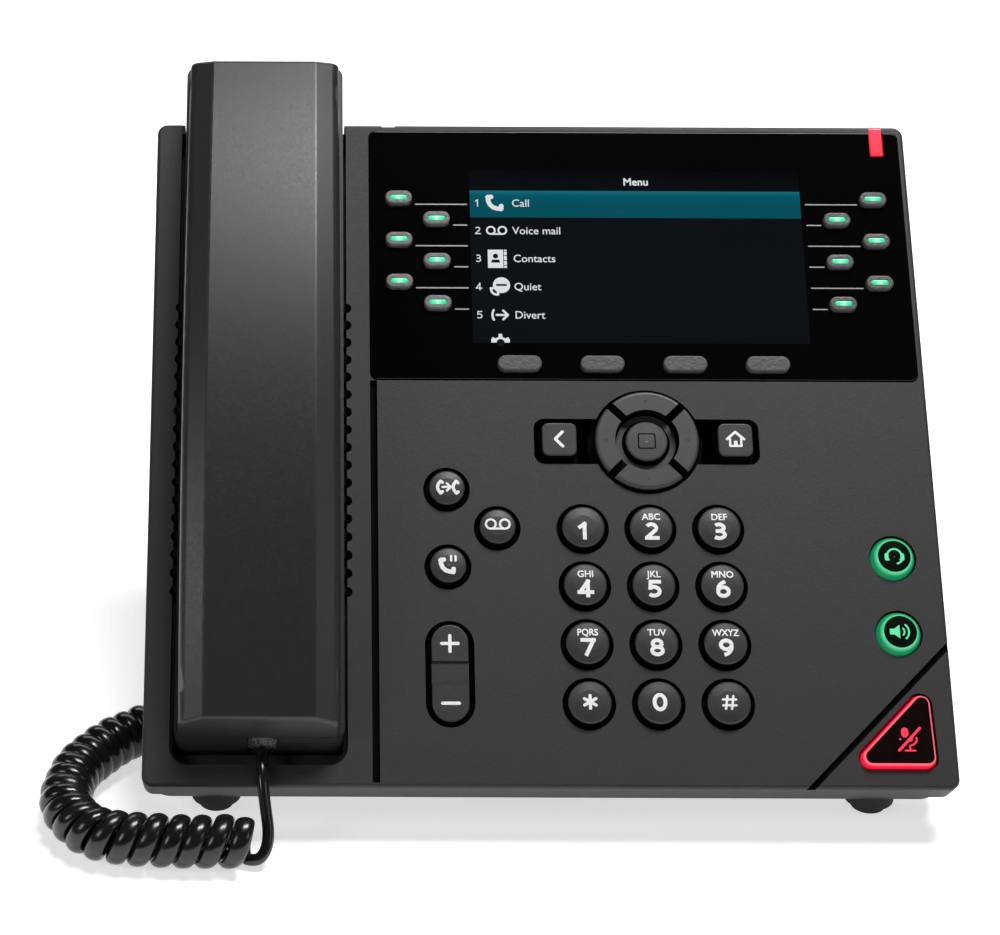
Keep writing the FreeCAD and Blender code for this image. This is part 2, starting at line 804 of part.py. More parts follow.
for name, place in side_places.items():
    body = new_body(name, FACE.multiply(FreeCAD.Placement(
        FreeCAD.Vector(place[0].value, place[1].value, 0), FreeCAD.Rotation()
    )))
    edge = d.side_key_size / 2
    stem = Profile(body, "KeyStem", shift=-d.key_drop)
    stem.rect(-3, -3, 3, 3)
    pad(body, stem, d.key_drop - 3.2, "Stem")
    flange = Profile(body, "KeyFlange", shift=under_cover - 1)
    flange.rounded(-edge - 0.5, -edge - 2.3, edge + 0.5, edge + 2.3, 1.5)
    pad(body, flange, 1.0, "Flange")
    cap = Profile(body, "KeyCap", shift=under_cover - 0.2)
    cap.rounded(-edge, -edge, edge, edge, 1.9)
    pad(body, cap, d.key_height - under_cover + 0.2, "Cap")
    soften(body, at_height(d.key_height.value), 0.4, "CapEdge")

# The volume rocker tips about a line across its middle.
volume = new_body("volume_rocker", FACE.multiply(FreeCAD.Placement(
    FreeCAD.Vector(d.volume_x.value, d.volume_level.value, 0), FreeCAD.Rotation()
)))
rocker_cap = Profile(volume, "RockerCap", shift=-3.0)
rocker_cap.pill(0, 0, d.volume_cap_width, d.volume_cap_height)
pad(volume, rocker_cap, 4.2, "Rocker")
soften(volume, at_height(1.2), 0.4, "RockerEdge")
rocker_dip = Profile(volume, "RockerDip", shift=2)
rocker_dip.rect(-6, -3.2, 6, 3.2)
pocket(volume, rocker_dip, 1.35, "RockerWaist")
rocker_flange = Profile(volume, "RockerFlange", shift=-4.4)
rocker_flange.pill(0, 0, d.volume_cap_width + 5, d.volume_cap_height + 4)
pad(volume, rocker_flange, 0.8, "Flange")
rocker_neck = Profile(volume, "RockerNeck", shift=-3.8)
rocker_neck.pill(0, 0, d.volume_cap_width - 1, d.volume_cap_height - 1)
pad(volume, rocker_neck, 1.2, "Neck")

mute = new_body("mute_key")
mute_base = Profile(mute, "MuteBase", shift=under_cover - 0.2)
mute_base.hull(mute_corners, d.mute_round)
pad(mute, mute_base, 0.2 - under_cover + 0.1, "Base")
mute_mid = Profile(mute, "MuteMid", shift=0.05)
mute_mid.hull(mute_corners, d.mute_round - 0.35)
pad(mute, mute_mid, d.key_height - 0.4 - 0.05, "Middle")
mute_top = Profile(mute, "MuteTop", shift=1.0)
mute_top.hull(mute_corners, d.mute_round - 0.8)
pad(mute, mute_top, d.key_height - 1.0, "Top")
mute_flange = Profile(mute, "MuteFlange", shift=under_cover - 1)
mute_flange.hull(mute_corners, d.mute_round + 1.5)
pad(mute, mute_flange, 1.0, "Flange")
mute_stem = Profile(mute, "MuteStem", shift=-d.key_drop)
mute_stem.circle(95.5, 13.0, 3.0)
pad(mute, mute_stem, d.key_drop - 3.2, "Stem")

# ---------------------------------------------------------------- inside

mat = new_body("keypad_mat")
BOARD_FACE = -10.6
mat_sheet = Profile(mat, "MatSheet", shift=BOARD_FACE)
mat_sheet.poly([
    (-35, 20), (-16, 20), (-16, 14), (74, 14), (74, 16), (92, 16),
    (92, 8), (104, 8), (104, 98), (88, 98), (88, 84),
    (66, 84), (66, 113), (-8, 113), (-8, 90), (-35, 90),
])
pad(mat, mat_sheet, 1.2, "MatPad")
dome_top = -d.key_drop - d.key_travel - 0.15
domes = Profile(mat, "MatDomes", shift=BOARD_FACE + 0.6)
for across, level in dial_places.values():
    domes.circle(across, level, 3.2)
for across, level in function_places.values():
    domes.circle(across, level, 3.0)
for across, level in lit_places.values():
    domes.circle(across, level, 3.0)
domes.circle(95.5, 13.0, 3.0)
domes.circle(d.nav_middle, d.nav_level, 3.0)
for across, level in side_places.values():
    domes.circle(across, level, 2.6)
pad(mat, domes, dome_top - BOARD_FACE - 0.6, "Domes")
low_domes = Profile(mat, "MatLowDomes", shift=BOARD_FACE + 0.6)
for x, y in ((0, 11.4), (0, -11.4), (11.4, 0), (-11.4, 0)):
    low_domes.circle(d.nav_middle + x, d.nav_level + y, 2.0)
low_domes.circle(d.volume_x, d.volume_level + 9, 2.4)
low_domes.circle(d.volume_x, d.volume_level - 9, 2.4)
pad(mat, low_domes, 3.4, "LowDomes")

board = new_body("main_board")
board_outline = Profile(board, "BoardOutline", shift=BOARD_FACE - 1.6)
board_outline.rounded(-44.5, 7.5, 104.6, 190.5, 2.0)
pad(board, board_outline, 1.6, "BoardPlate")
clearances = Profile(board, "BoardClearances")
for x, y in boss_places[1:2] + boss_places[4:]:
    clearances.circle(x, y, 3.4)
pocket(board, clearances, 20, "BoardHoles")
chips = Profile(board, "ChipOutlines", shift=BOARD_FACE - 1.6 - 1.4)
chips.rect(10, 118, 28, 136)
chips.rect(40, 122, 52, 134)
chips.rect(64, 118, 76, 132)
chips.rect(-14, 130, -4, 146)
chips.rect(22, 150, 34, 158)
chips.rect(52, 26, 60, 36)
pad(board, chips, 1.5, "Chips")
cans = Profile(board, "CanOutlines", shift=BOARD_FACE - 1.6 - 8)
cans.circle(84, 128, 4.0)
cans.circle(84, 140, 4.0)
cans.circle(-30, 128, 3.2)
pad(board, cans, 8.1, "Capacitors")
for index, (name, across, open_wide, open_high, wide, deep) in enumerate(SOCKETS):
    housing = Profile(board, f"{name}Housing", shift=SOCKET_LOW)
    housing.rect(across - wide / 2, BAY_HIGH + 0.2, across + wide / 2, BAY_HIGH + deep)
    pad(board, housing, SOCKET_TOP - SOCKET_LOW + 0.1, f"{name}Socket")
    mouth = Profile(board, f"{name}Mouth", "XZ_Plane", shift=-BAY_HIGH + 1)
    middle = SOCKET_LOW + 1.4 + open_high / 2
    mouth.rect(
        across - open_wide / 2, middle - open_high / 2,
        across + open_wide / 2, middle + open_high / 2,
    )
    pocket(board, mouth, deep - 1.6, f"{name}Opening")
pins = Profile(board, "PowerPin", "XZ_Plane", shift=-BAY_HIGH - 12)
pins.circle(72, SOCKET_LOW + 1.4 + 3.3, 1.0)
pad(board, pins, 9.5, "CentrePin")

driver = new_body("loudspeaker", FACE.multiply(FreeCAD.Placement(
    FreeCAD.Vector(d.handset_middle.value, 95.7, -8.3), FreeCAD.Rotation()
)))
driver_half = Profile(driver, "DriverHalf", "XZ_Plane")
driver_half.poly([
    (0, -14.5), (11, -14.5), (11, -9.5), (13, -9.5), (23.5, -3.0), (23.5, 0),
    (20.5, 0), (20.0, -1.2), (9, -5.6), (0, -4.2),
])
revolve(driver, driver_half, "Driver")

hook = new_body("hook_switch", FACE.multiply(FreeCAD.Placement(
    FreeCAD.Vector(d.handset_middle.value, 168.0, 0), FreeCAD.Rotation()
)))
hook_stem = Profile(hook, "HookStem", shift=-15.0)
hook_stem.rounded(-4.0, -2.2, 4.0, 2.2, 1.0)
pad(hook, hook_stem, 15.0 - 6.1, "Plunger")
soften(hook, at_height(-6.1), 0.8, "PlungerTip")
hook_flange = Profile(hook, "HookFlange", shift=-13.8)
hook_flange.rect(-6, -4, 6, 4)
pad(hook, hook_flange, 1.2, "Flange")
hook_hole = Profile(cover, "HookHole", shift=-2)
hook_hole.rounded(
    d.handset_middle - 4.4, 165.4, d.handset_middle + 4.4, 170.6, 1.2
)
pocket(cover, hook_hole, 8, "HookOpening")

# ---------------------------------------------------------------- handset

slant = d.handset_slant


def end_low(height):
    """Where the handset's lower end lies at a height above the face."""
    return d.handset_bottom + (height - d.handset_sole) * slant


def end_high(height):
    return d.handset_top - (height - d.handset_sole) * slant


def arch_profile(body, name, shift, bottom, end, top, inset_by):
    """Side view of the outer half: flat below, slanted ends, an arched back."""
    side = Profile(body, name, "YZ_Plane", shift=shift)
    sketch = side.sketch
    spots = [
        (end_low(bottom) + inset_by, bottom),
        (end_high(bottom) - inset_by, bottom),
        (end_high(end) - inset_by, end),
        (end_low(end) + inset_by, end),
    ]
    vectors = [FreeCAD.Vector(as_size(x).value, as_size(y).value, 0) for x, y in spots]
    crown = FreeCAD.Vector((vectors[2].x + vectors[3].x) / 2, as_size(top).value, 0)
    for i, j in ((0, 1), (1, 2), (3, 0)):
        sketch.addGeometry(Part.LineSegment(vectors[i], vectors[j]), False)
    arc = Part.Arc(vectors[2], crown, vectors[3])
    sketch.addGeometry(arc, False)
    side.rule("Coincident", 0, 2, 1, 1)
    side.rule("Coincident", 2, 2, 0, 1)
    side.rule("Coincident", 1, 2, 3, 1)
    side.rule("Coincident", 2, 1, 3, 2)
    side.at(0, 1, *spots[0])
    side.at(0, 2, *spots[1])
    side.at(1, 2, *spots[2])
    side.at(2, 1, *spots[3])
    rise = as_size(top) - as_size(end)
    half_span = (as_size(spots[2][0]) - as_size(spots[3][0])) / 2
    side.fix("Radius", 3, size=(half_span * half_span + rise * rise) / (rise * 2))
    return side


HANDSET_PLACE = FACE.multiply(FreeCAD.Placement(
    FreeCAD.Vector(d.handset_middle.value, 0, 0), FreeCAD.Rotation()
))
half_handset = d.handset_width / 2
outer = new_body("handset_outer_shell", HANDSET_PLACE)
arch = arch_profile(
    outer, "ArchOutline", d.handset_rim - half_handset, d.handset_parting + 0.15,
    d.handset_end, d.handset_arch, 0,
)
pad(outer, arch, d.handset_width - d.handset_rim * 2, "ArchBlock")


def is_arch_edge(edge):
    box = edge.BoundBox
    return box.XLength < 1e-3 and box.YLength > 150 and box.ZMin > 8


arch_block = outer.Tip
shoulder_edges = edges_where(outer, is_arch_edge)
slope = outer.newObject("PartDesign::Chamfer", "ArchShoulders")
slope.Base = (arch_block, shoulder_edges)
slope.ChamferType = "Two distances"
slope.Size = 6.7
slope.Size2 = 2.9
slope.FlipDirection = False
doc.recompute()
parting_top = d.handset_parting.value + 0.15
side_reach = half_handset.value - d.handset_rim.value


def runs_lengthwise(edge):
    return edge.BoundBox.YLength > 150 and edge.BoundBox.ZMin > parting_top + 0.5


def is_side_edge(edge):
    return runs_lengthwise(edge) and abs(edge.CenterOfMass.x) > side_reach - 0.1


soften(outer, is_side_edge, 3.2, "ArchSides")
soften(
    outer,
    lambda e: e.BoundBox.ZMax > parting_top + 0.5
    and (e.BoundBox.YLength < 60 or abs(e.CenterOfMass.x) < side_reach - 6),
    1.5, "ArchRounding",
)
hollow = arch_profile(
    outer, "ArchHollow", -half_handset + 5.5, d.handset_parting - 1,
    d.handset_end - 4.5, d.handset_arch - 6.0, 4.0,
)
pocket(outer, hollow, d.handset_width - 11, "ArchCavity", upward=True)

inner_shell = new_body("handset_inner_shell", HANDSET_PLACE)
sole = d.handset_sole
sole_side = Profile(inner_shell, "SoleOutline", "YZ_Plane", shift=-half_handset)
sole_side.poly([
    (end_low(sole), sole), (60, sole), (70, d.handset_grip), (152, d.handset_grip),
    (162, sole), (end_high(sole), sole), (end_high(d.handset_parting), d.handset_parting),
    (end_low(d.handset_parting), d.handset_parting),
])
pad(inner_shell, sole_side, d.handset_width, "SoleBlock")
soften(
    inner_shell,
    lambda e: e.BoundBox.XLength < 1e-3 and e.BoundBox.ZLength > 9
    and e.BoundBox.YLength < 5,
    3.0, "SoleCorners",
)
soften(
    inner_shell, lambda e: e.BoundBox.ZMax < d.handset_grip.value + 0.01, 1.5, "SoleRounding"
)
cup_low = Profile(inner_shell, "MouthHollow", shift=d.handset_parting)
cup_low.rounded(-18, 27, 18, 56, 4)
pocket(inner_shell, cup_low, d.handset_parting - sole - 2, "MouthCavity")
cup_high = Profile(inner_shell, "EarHollow", shift=d.handset_parting)
cup_high.rounded(-19, 165, 19, 207, 4)
pocket(inner_shell, cup_high, d.handset_parting - sole - 2, "EarCavity")
mouth_holes = Profile(inner_shell, "MouthHoles", shift=sole - 1)
for i in range(3):
    mouth_holes.circle(-3 + 3 * i, 38, 0.8)
pocket(inner_shell, mouth_holes, 4, "MouthPorts", upward=True)
ear_holes = Profile(inner_shell, "EarHoles", shift=sole - 1)
ear_holes.circle(0, 186, 0.9)
for i in range(6):
    angle = math.radians(60 * i)
    ear_holes.circle(4.2 * math.cos(angle), 186 + 4.2 * math.sin(angle), 0.9)
pocket(inner_shell, ear_holes, 4, "EarPorts", upward=True)
jack_across = d.jack_x - d.handset_middle
jack = Profile(inner_shell, "JackMouth", "XZ_Plane", shift=-5)
jack.rect(
    jack_across - 4.05, d.jack_level - 3.6, jack_across + 4.05, d.jack_level + 3.6
)
pocket(inner_shell, jack, 18.6, "Jack")

weight = doc.addObject("Part::Box", "BalanceWeight")
weight.Length = 16
weight.Width = 60
weight.Height = 6
weight.Placement = FreeCAD.Placement(
    FreeCAD.Vector(-8, 80, d.handset_parting.value + 0.1), FreeCAD.Rotation()
)
receiver = doc.addObject("Part::Cylinder", "Receiver")
receiver.Radius = 14
receiver.Height = 7
receiver.Placement = FreeCAD.Placement(FreeCAD.Vector(0, 186, -3.4), FreeCAD.Rotation())
microphone = doc.addObject("Part::Cylinder", "Microphone")
microphone.Radius = 4.85
microphone.Height = 6
microphone.Placement = FreeCAD.Placement(FreeCAD.Vector(0, 38, -3.4), FreeCAD.Rotation())
capsules = doc.addObject("Part::MultiFuse", "handset_capsules")
capsules.Shapes = [weight, receiver, microphone]
capsules.Placement = HANDSET_PLACE
keep(capsules, "handset_capsules")


def modular_plug(label, placement):
    """A four-way modular plug, its cord end at y = 0, going in along +y."""
    body = new_body(label, placement)
    block = Profile(body, "PlugBlock", shift=-3.3)
    block.rect(-3.8, 0, 3.8, 12.2)
    pad(body, block, 6.0, "Block")
    latch = Profile(body, "PlugLatch", shift=2.6)
    latch.rect(-1.6, 0, 1.6, 10.5)
    pad(body, latch, 0.8, "Latch")
    return body


PLUG_END = 10.6
plug_place = FACE.multiply(FreeCAD.Placement(
    FreeCAD.Vector(d.jack_x.value, PLUG_END, d.jack_level.value), FreeCAD.Rotation()
))
modular_plug("handset_plug", plug_place)
BASE_JACK = SOCKETS[0]
BASE_PLUG_LEVEL = SOCKET_LOW + 1.4 + 3.6
base_end = BAY_HIGH - 2.2
base_plug_place = FACE.multiply(FreeCAD.Placement(
    FreeCAD.Vector(BASE_JACK[1], base_end, BASE_PLUG_LEVEL), FreeCAD.Rotation()
))
modular_plug("base_plug", base_plug_place)

# ---------------------------------------------------------------- cord


def rounded_route(points, name, diameter):
    """Straight runs joined by tangent arcs, each as large as its runs allow."""
    edges = []
    here = points[0]
    radii = []
    for i in range(1, len(points) - 1):
        before = points[i] - points[i - 1]
        after = points[i + 1] - points[i]
        turn = before.getAngle(after)
        radius = 0.45 * min(before.Length, after.Length) / math.tan(turn / 2)
        setback = radius * math.tan(turn / 2)
        start = points[i] - FreeCAD.Vector(before).normalize() * setback
        end = points[i] + FreeCAD.Vector(after).normalize() * setback
        chord = (start + end) * 0.5
        inward = (chord - points[i]).normalize()
        middle = points[i] + inward * (radius / math.cos(turn / 2) - radius)
        edges.append(Part.LineSegment(here, start).toShape())
        edges.append(Part.Arc(start, middle, end).toShape())
        radii.append(radius)
        here = end
    edges.append(Part.LineSegment(here, points[-1]).toShape())
    wire = Part.Wire(edges)
    print(name, "length", round(wire.Length, 1), "radii", [round(r, 1) for r in radii],
          "diameters", [round(r / diameter, 1) for r in radii])
    return wire


def tube(points, diameter, name):
    wire = rounded_route(points, name, diameter)
    first = (points[1] - points[0]).normalize()
    ring = Part.Wire(Part.Circle(points[0], first, diameter / 2).toShape())
    solid = Part.Wire(wire.Edges).makePipeShell([ring], True, False)
    expected = math.pi * diameter ** 2 / 4 * wire.Length
    if abs(solid.Volume / expected - 1) > 0.02:
        raise ValueError(f"{name}: tube volume {solid.Volume} for {expected}")
    return solid


def on_desk(points):
    shift = d.front_edge_y.value
    return [FreeCAD.Vector(x, y + shift, z) for x, y, z in points]


def face_point(x, y, z):
    return FACE.multVec(FreeCAD.Vector(x, y, z))


# Points are given from the front edge of the face, as (x, y behind it, z).
coil_level = d.coil_diameter.value / 2 + 0.05
low_level = 3.6
COIL_ROUTE = on_desk([
    (-80.6, -11.2, coil_level), (-100.0, -11.8, coil_level), (-120.5, -9.6, coil_level),
    (-130.6, 5.0, coil_level), (-127.8, 24.5, coil_level), (-115.5, 41.5, coil_level),
    (-97.0, 53.0, coil_level), (-75.0, 59.5, coil_level), (-52.0, 61.5, coil_level),
    (-29.0, 59.0, coil_level),
])
# The front lead starts clear of the handset's end, so that the handset can lift.
lead_start = face_point(d.jack_x.value, 8.8, 0.65)
FRONT_LEAD = [lead_start] + on_desk([
    (-76.5, -0.92, 20.83), (-75.5, -5.5, 13.8), (-74.5, -9.1, 8.3),
    (-75.3, -12.0, 4.9), (-77.9, -13.14, low_level), (-80.535, -13.22, low_level),
])
base_mouth = face_point(BASE_JACK[1], base_end, BASE_PLUG_LEVEL)
base_straight = face_point(BASE_JACK[1], base_end - 13.0, BASE_PLUG_LEVEL)
BASE_LEAD = [base_mouth, base_straight] + on_desk([
    (-22.0, 60.3, 38.5), (-16.5, 59.2, 27.0), (-11.2, 57.8, 18.8), (-10.6, 57.0, 12.4),
    (-13.8, 57.3, 6.8), (-19.4, 57.95, low_level), (-29.0, 59.0, low_level),
])
lead = d.lead_diameter.value
leads = doc.addObject("Part::Feature", "cord_leads")
leads.Shape = Part.makeCompound([
    tube(FRONT_LEAD, lead, "front lead"), tube(BASE_LEAD, lead, "base lead"),
])
keep(leads, "cord_leads")
coil = doc.addObject("Part::Feature", "cord_coil")
coil.Shape = tube(COIL_ROUTE, d.coil_diameter.value, "coil")
keep(coil, "cord_coil")

# ---------------------------------------------------------------- stand and feet

UPRIGHT = FreeCAD.Placement(
    FreeCAD.Vector(0, d.front_edge_y.value, 0), FreeCAD.Rotation()
)
back_of_housing = -d.housing_depth.value - 0.02
cosine = math.cos(TILT)
sine = math.sin(TILT)


def side_point(along, out):
    """A point of the face frame in the upright side view."""
    return (
        along * cosine - out * sine,
        d.rest_height.value + along * sine + out * cosine,
    )


stand = new_body("desk_stand", UPRIGHT)
STAND_HALF = 50.0
low_grip = side_point(106, back_of_housing)
high_grip = side_point(168, back_of_housing)
leg = Profile(stand, "LegOutline", "YZ_Plane", shift=-STAND_HALF)
leg.poly([low_grip, (140.0, 3.5), (161.0, 3.5), (163.5, 9.0), high_grip])
pad(stand, leg, 2 * STAND_HALF, "LegBlock")
hollow_low = side_point(109, back_of_housing - 3.2)
hollow_high = side_point(163.5, back_of_housing - 3.2)
leg_hollow = Profile(stand, "LegHollow", "YZ_Plane", shift=STAND_HALF - 3)
leg_hollow.poly([
    hollow_low, (hollow_low[0] + 8, hollow_low[1] - 22.0), (138.0, 7.0),
    (158.5, 7.0), (160.0, 10.0), hollow_high,
])
pocket(stand, leg_hollow, 2 * STAND_HALF - 6, "LegCavity")
throat = Profile(stand, "LegThroat", "YZ_Plane", shift=STAND_HALF - 3)
throat.poly([
    (80.0, 66.0), (80.0, 2.0), (137.0, 2.0), (143.0, 9.0), (120.0, 40.0), hollow_low,
    (low_grip[0] - 0.5, low_grip[1] - 3.5),
])
pocket(stand, throat, 2 * STAND_HALF - 6, "LegOpening")
cable_pass = Profile(stand, "CablePass", "XZ_Plane", shift=-120)
cable_pass.rounded(-22, 30, 22, 74, 6)
pocket(stand, cable_pass, 60, "CableOpening")

foot_parts = []
FRONT_FOOT_Y = 18.5
underside = d.rest_height.value - d.front_wall_depth.value * sine - 0.02
for side in (-1, 1):
    flange = doc.addObject("Part::Cylinder", "FootFlange")
    flange.Radius = 6.7
    flange.Height = underside - 2.4
    flange.Placement = FreeCAD.Placement(
        FreeCAD.Vector(side * 89.2, FRONT_FOOT_Y, 2.4), FreeCAD.Rotation()
    )
    core = doc.addObject("Part::Cylinder", "FootCore")
    core.Radius = 4.6
    core.Height = 3.0
    core.Placement = FreeCAD.Placement(
        FreeCAD.Vector(side * 89.2, FRONT_FOOT_Y, 0), FreeCAD.Rotation()
    )
    pad_foot = doc.addObject("Part::Cylinder", "RearFoot")
    pad_foot.Radius = 6.0
    pad_foot.Height = 3.48
    pad_foot.Placement = FreeCAD.Placement(
        FreeCAD.Vector(side * 40.0, 151.0, 0), FreeCAD.Rotation()
    )
    foot_parts += [flange, core, pad_foot]
feet = doc.addObject("Part::MultiFuse", "rubber_feet")
feet.Shapes = foot_parts
feet.Placement = UPRIGHT
keep(feet, "rubber_feet")

# ---------------------------------------------------------------- check and write

doc.recompute()
for thing in doc.Objects:
    if "Invalid" in thing.State or "Error" in thing.State:
        raise ValueError(f"{thing.Label} failed: {thing.State}")
for thing in NODES:
    if thing.Shape.isNull() or not thing.Shape.isValid():
        raise ValueError(f"{thing.Label} has no valid shape")
os.makedirs("parts", exist_ok=True)
for thing in NODES:
    thing.Shape.exportStep(f"parts/{thing.Label}.step")
print(len(NODES), "pieces written")
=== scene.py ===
import bmesh
import bpy
import json
import math
import random
from mathutils import Matrix, Vector

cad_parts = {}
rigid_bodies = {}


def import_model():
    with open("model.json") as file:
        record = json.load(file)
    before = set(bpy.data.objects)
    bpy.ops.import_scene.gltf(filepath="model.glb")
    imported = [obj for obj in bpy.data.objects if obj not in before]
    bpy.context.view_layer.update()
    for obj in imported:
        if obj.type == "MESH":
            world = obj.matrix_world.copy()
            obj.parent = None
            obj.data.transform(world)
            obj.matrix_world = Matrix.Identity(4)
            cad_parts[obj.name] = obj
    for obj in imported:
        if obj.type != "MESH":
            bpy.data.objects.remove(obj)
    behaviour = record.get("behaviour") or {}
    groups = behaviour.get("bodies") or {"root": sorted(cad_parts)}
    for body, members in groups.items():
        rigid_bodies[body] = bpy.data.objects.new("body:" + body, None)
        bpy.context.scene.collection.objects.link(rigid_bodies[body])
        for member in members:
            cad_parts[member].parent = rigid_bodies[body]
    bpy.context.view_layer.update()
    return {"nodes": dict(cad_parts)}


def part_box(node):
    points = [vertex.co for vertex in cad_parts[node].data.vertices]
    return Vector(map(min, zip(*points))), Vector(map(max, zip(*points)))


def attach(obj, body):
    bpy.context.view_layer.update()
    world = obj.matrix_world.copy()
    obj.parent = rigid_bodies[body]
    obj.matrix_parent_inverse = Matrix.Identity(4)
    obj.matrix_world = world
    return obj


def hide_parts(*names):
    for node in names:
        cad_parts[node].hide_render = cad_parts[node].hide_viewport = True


# Desk IP phone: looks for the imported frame. Everything is in metres, in the
# frame of the CAD model; small artwork is given in millimetres on the face.

for leftover in list(bpy.data.objects):
    bpy.data.objects.remove(leftover)
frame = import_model()
CAD = frame["nodes"]
scene = bpy.context.scene
random.seed(11)

MM = 0.001
TILT = math.radians(45)
FRONT_EDGE = -81.84
FACE = Matrix.Translation((0, FRONT_EDGE * MM, 0.0168)) @ Matrix.Rotation(TILT, 4, "X")
NORMAL = FACE.to_3x3() @ Vector((0, 0, 1))
UP_FACE = FACE.to_3x3() @ Vector((0, 1, 0))


def on_face(u, v, w=0.0):
    return FACE @ Vector((u * MM, v * MM, w * MM))


# ---------------------------------------------------------------- materials


class Look:
    """A Principled material built from named steps."""

    def __init__(self, name, color, rough, **values):
        self.material = bpy.data.materials.new(name)
        self.material.use_nodes = True
        self.tree = self.material.node_tree
        self.shader = self.tree.nodes["Principled BSDF"]
        self.set("Base Color", (*color, 1))
        self.set("Roughness", rough)
        for key, value in values.items():
            self.set(key.replace("_", " "), value)
        self.where = self.tree.nodes.new("ShaderNodeTexCoord").outputs["Object"]

    def set(self, socket, value):
        self.shader.inputs[socket].default_value = value

    def link(self, out, into):
        self.tree.links.new(out, into)

    def noise(self, scale, detail=3.0, rough=0.5):
        node = self.tree.nodes.new("ShaderNodeTexNoise")
        node.inputs["Scale"].default_value = scale
        node.inputs["Detail"].default_value = detail
        node.inputs["Roughness"].default_value = rough
        self.link(self.where, node.inputs["Vector"])
        return node.outputs["Fac"]

    def ramp(self, value, low, high, colors):
        """Colours (or greys) spread evenly between two values."""
        span = self.tree.nodes.new("ShaderNodeMapRange")
        span.inputs["From Min"].default_value = low
        span.inputs["From Max"].default_value = high
        self.link(value, span.inputs["Value"])
        node = self.tree.nodes.new("ShaderNodeValToRGB")
        stops = node.color_ramp.elements
        while len(stops) < len(colors):
            stops.new(0.5)
        for i, color in enumerate(colors):
            stops[i].position = i / (len(colors) - 1)
            if isinstance(color, (int, float)):
                color = (color, color, color)
            stops[i].color = (*color, 1)
        self.link(span.outputs["Result"], node.inputs["Fac"])
        return node.outputs["Color"]

    def along(self, direction, offset=0.0):
        """Distance along a direction, in millimetres, with an offset added."""
        node = self.tree.nodes.new("ShaderNodeVectorMath")
        node.operation = "DOT_PRODUCT"
        node.inputs[1].default_value = Vector(direction) * 1000
        self.link(self.where, node.inputs[0])
        add = self.tree.nodes.new("ShaderNodeMath")
        add.operation = "ADD"
        add.inputs[1].default_value = offset
        self.link(node.outputs["Value"], add.inputs[0])
        return add.outputs["Value"]

    def height(self):
        """Millimetres above the face."""
        return self.along(NORMAL, -NORMAL.dot(FACE.translation) * 1000)

    def up(self):
        """Millimetres up the face from its front edge."""
        return self.along(UP_FACE, -UP_FACE.dot(FACE.translation) * 1000)

    def mottle(self, scale, colors):
        self.link(self.ramp(self.noise(scale, 4.0), 0.3, 0.7, colors),
                  self.shader.inputs["Base Color"])
        return self

    def uneven_gloss(self, scale, low, high):
        self.link(self.ramp(self.noise(scale, 2.0), 0.3, 0.7, [low, high]),
                  self.shader.inputs["Roughness"])
        return self

    def grain(self, *layers):
        """Bump layers, each a noise scale and a depth in millimetres."""
        last = None
        for scale, depth in layers:
            bump = self.tree.nodes.new("ShaderNodeBump")
            bump.inputs["Distance"].default_value = depth * MM
            bump.inputs["Strength"].default_value = 1.0
            self.link(self.noise(scale, 2.0), bump.inputs["Height"])
            if last:
                self.link(last.outputs["Normal"], bump.inputs["Normal"])
            last = bump
        self.link(last.outputs["Normal"], self.shader.inputs["Normal"])
        return self

    def glow(self, source, strength):
        self.set("Emission Strength", strength)
        if isinstance(source, tuple):
            self.set("Emission Color", (*source, 1))
        else:
            self.link(source, self.shader.inputs["Emission Color"])
        return self


def textured(name, tone, rough, size=1.0, depth=0.03):
    """Moulded plastic with a fine spark-eroded grain."""
    look = Look(name, (tone, tone, tone * 1.02), rough)
    look.mottle(400, [tone * 0.93, tone * 1.07])
    look.uneven_gloss(1200, rough - 0.03, rough + 0.04)
    return look.grain((2600 / size, depth), (900 / size, depth * 0.8)).material


housing = textured("housing_plastic", 0.0165, 0.58)
handset_skin = textured("handset_plastic", 0.017, 0.4, depth=0.012)
key_skin = textured("key_plastic", 0.03, 0.42, depth=0.008)
nav_skin = textured("nav_plastic", 0.05, 0.42, depth=0.01)
soft_skin = textured("soft_key_plastic", 0.06, 0.5, size=2.2, depth=0.12)
line_skin = textured("line_key_plastic", 0.13, 0.42, size=2.2, depth=0.12)
# The right-hand line keys use a darker copy of the same plastic: painted shade.
line_skin_painted_shade = textured("line_key_plastic_painted_shade", 0.07, 0.42, size=2.2, depth=0.12)
dark_inside = textured("inner_plastic", 0.015, 0.7)
# The handset channel's sunk faces get a darker copy of the housing plastic: painted shade for the
# recess under the handset.
channel_painted_shade = textured("channel_plastic_painted_shade", 0.014, 0.62)
# Near-black painted shade: wells, grooves, key sides and flanges, the keypad mat and screw recesses
# stand for plastic in shadow.
painted_shade_black = Look("painted_shade_black", (0.0016, 0.0016, 0.0016), 0.9, Specular_IOR_Level=0.08)
painted_shade_black.mottle(300, [0.0012, 0.002])
painted_shade_black = painted_shade_black.material
rubber = textured("foot_rubber", 0.014, 0.75, depth=0.02)
gloss_black = Look("panel_gloss", (0.0015, 0.0015, 0.0017), 0.06)
gloss_black.uneven_gloss(25, 0.04, 0.075)
gloss_black = gloss_black.material
cable = Look("cord_jacket", (0.008, 0.008, 0.0085), 0.2)
cable.mottle(140, [0.006, 0.011]).uneven_gloss(160, 0.16, 0.27).grain((700, 0.015))
cable = cable.material
clear = Look("clear_plastic", (0.1, 0.1, 0.1), 0.12, Alpha=0.4)
clear.mottle(500, [0.08, 0.12]).uneven_gloss(300, 0.08, 0.2)
clear = clear.material
gold = Look("contact_gold", (0.9, 0.62, 0.22), 0.25, Metallic=1.0)
gold.uneven_gloss(900, 0.18, 0.35)
gold = gold.material
steel = Look("screw_steel", (0.5, 0.5, 0.52), 0.35, Metallic=1.0)
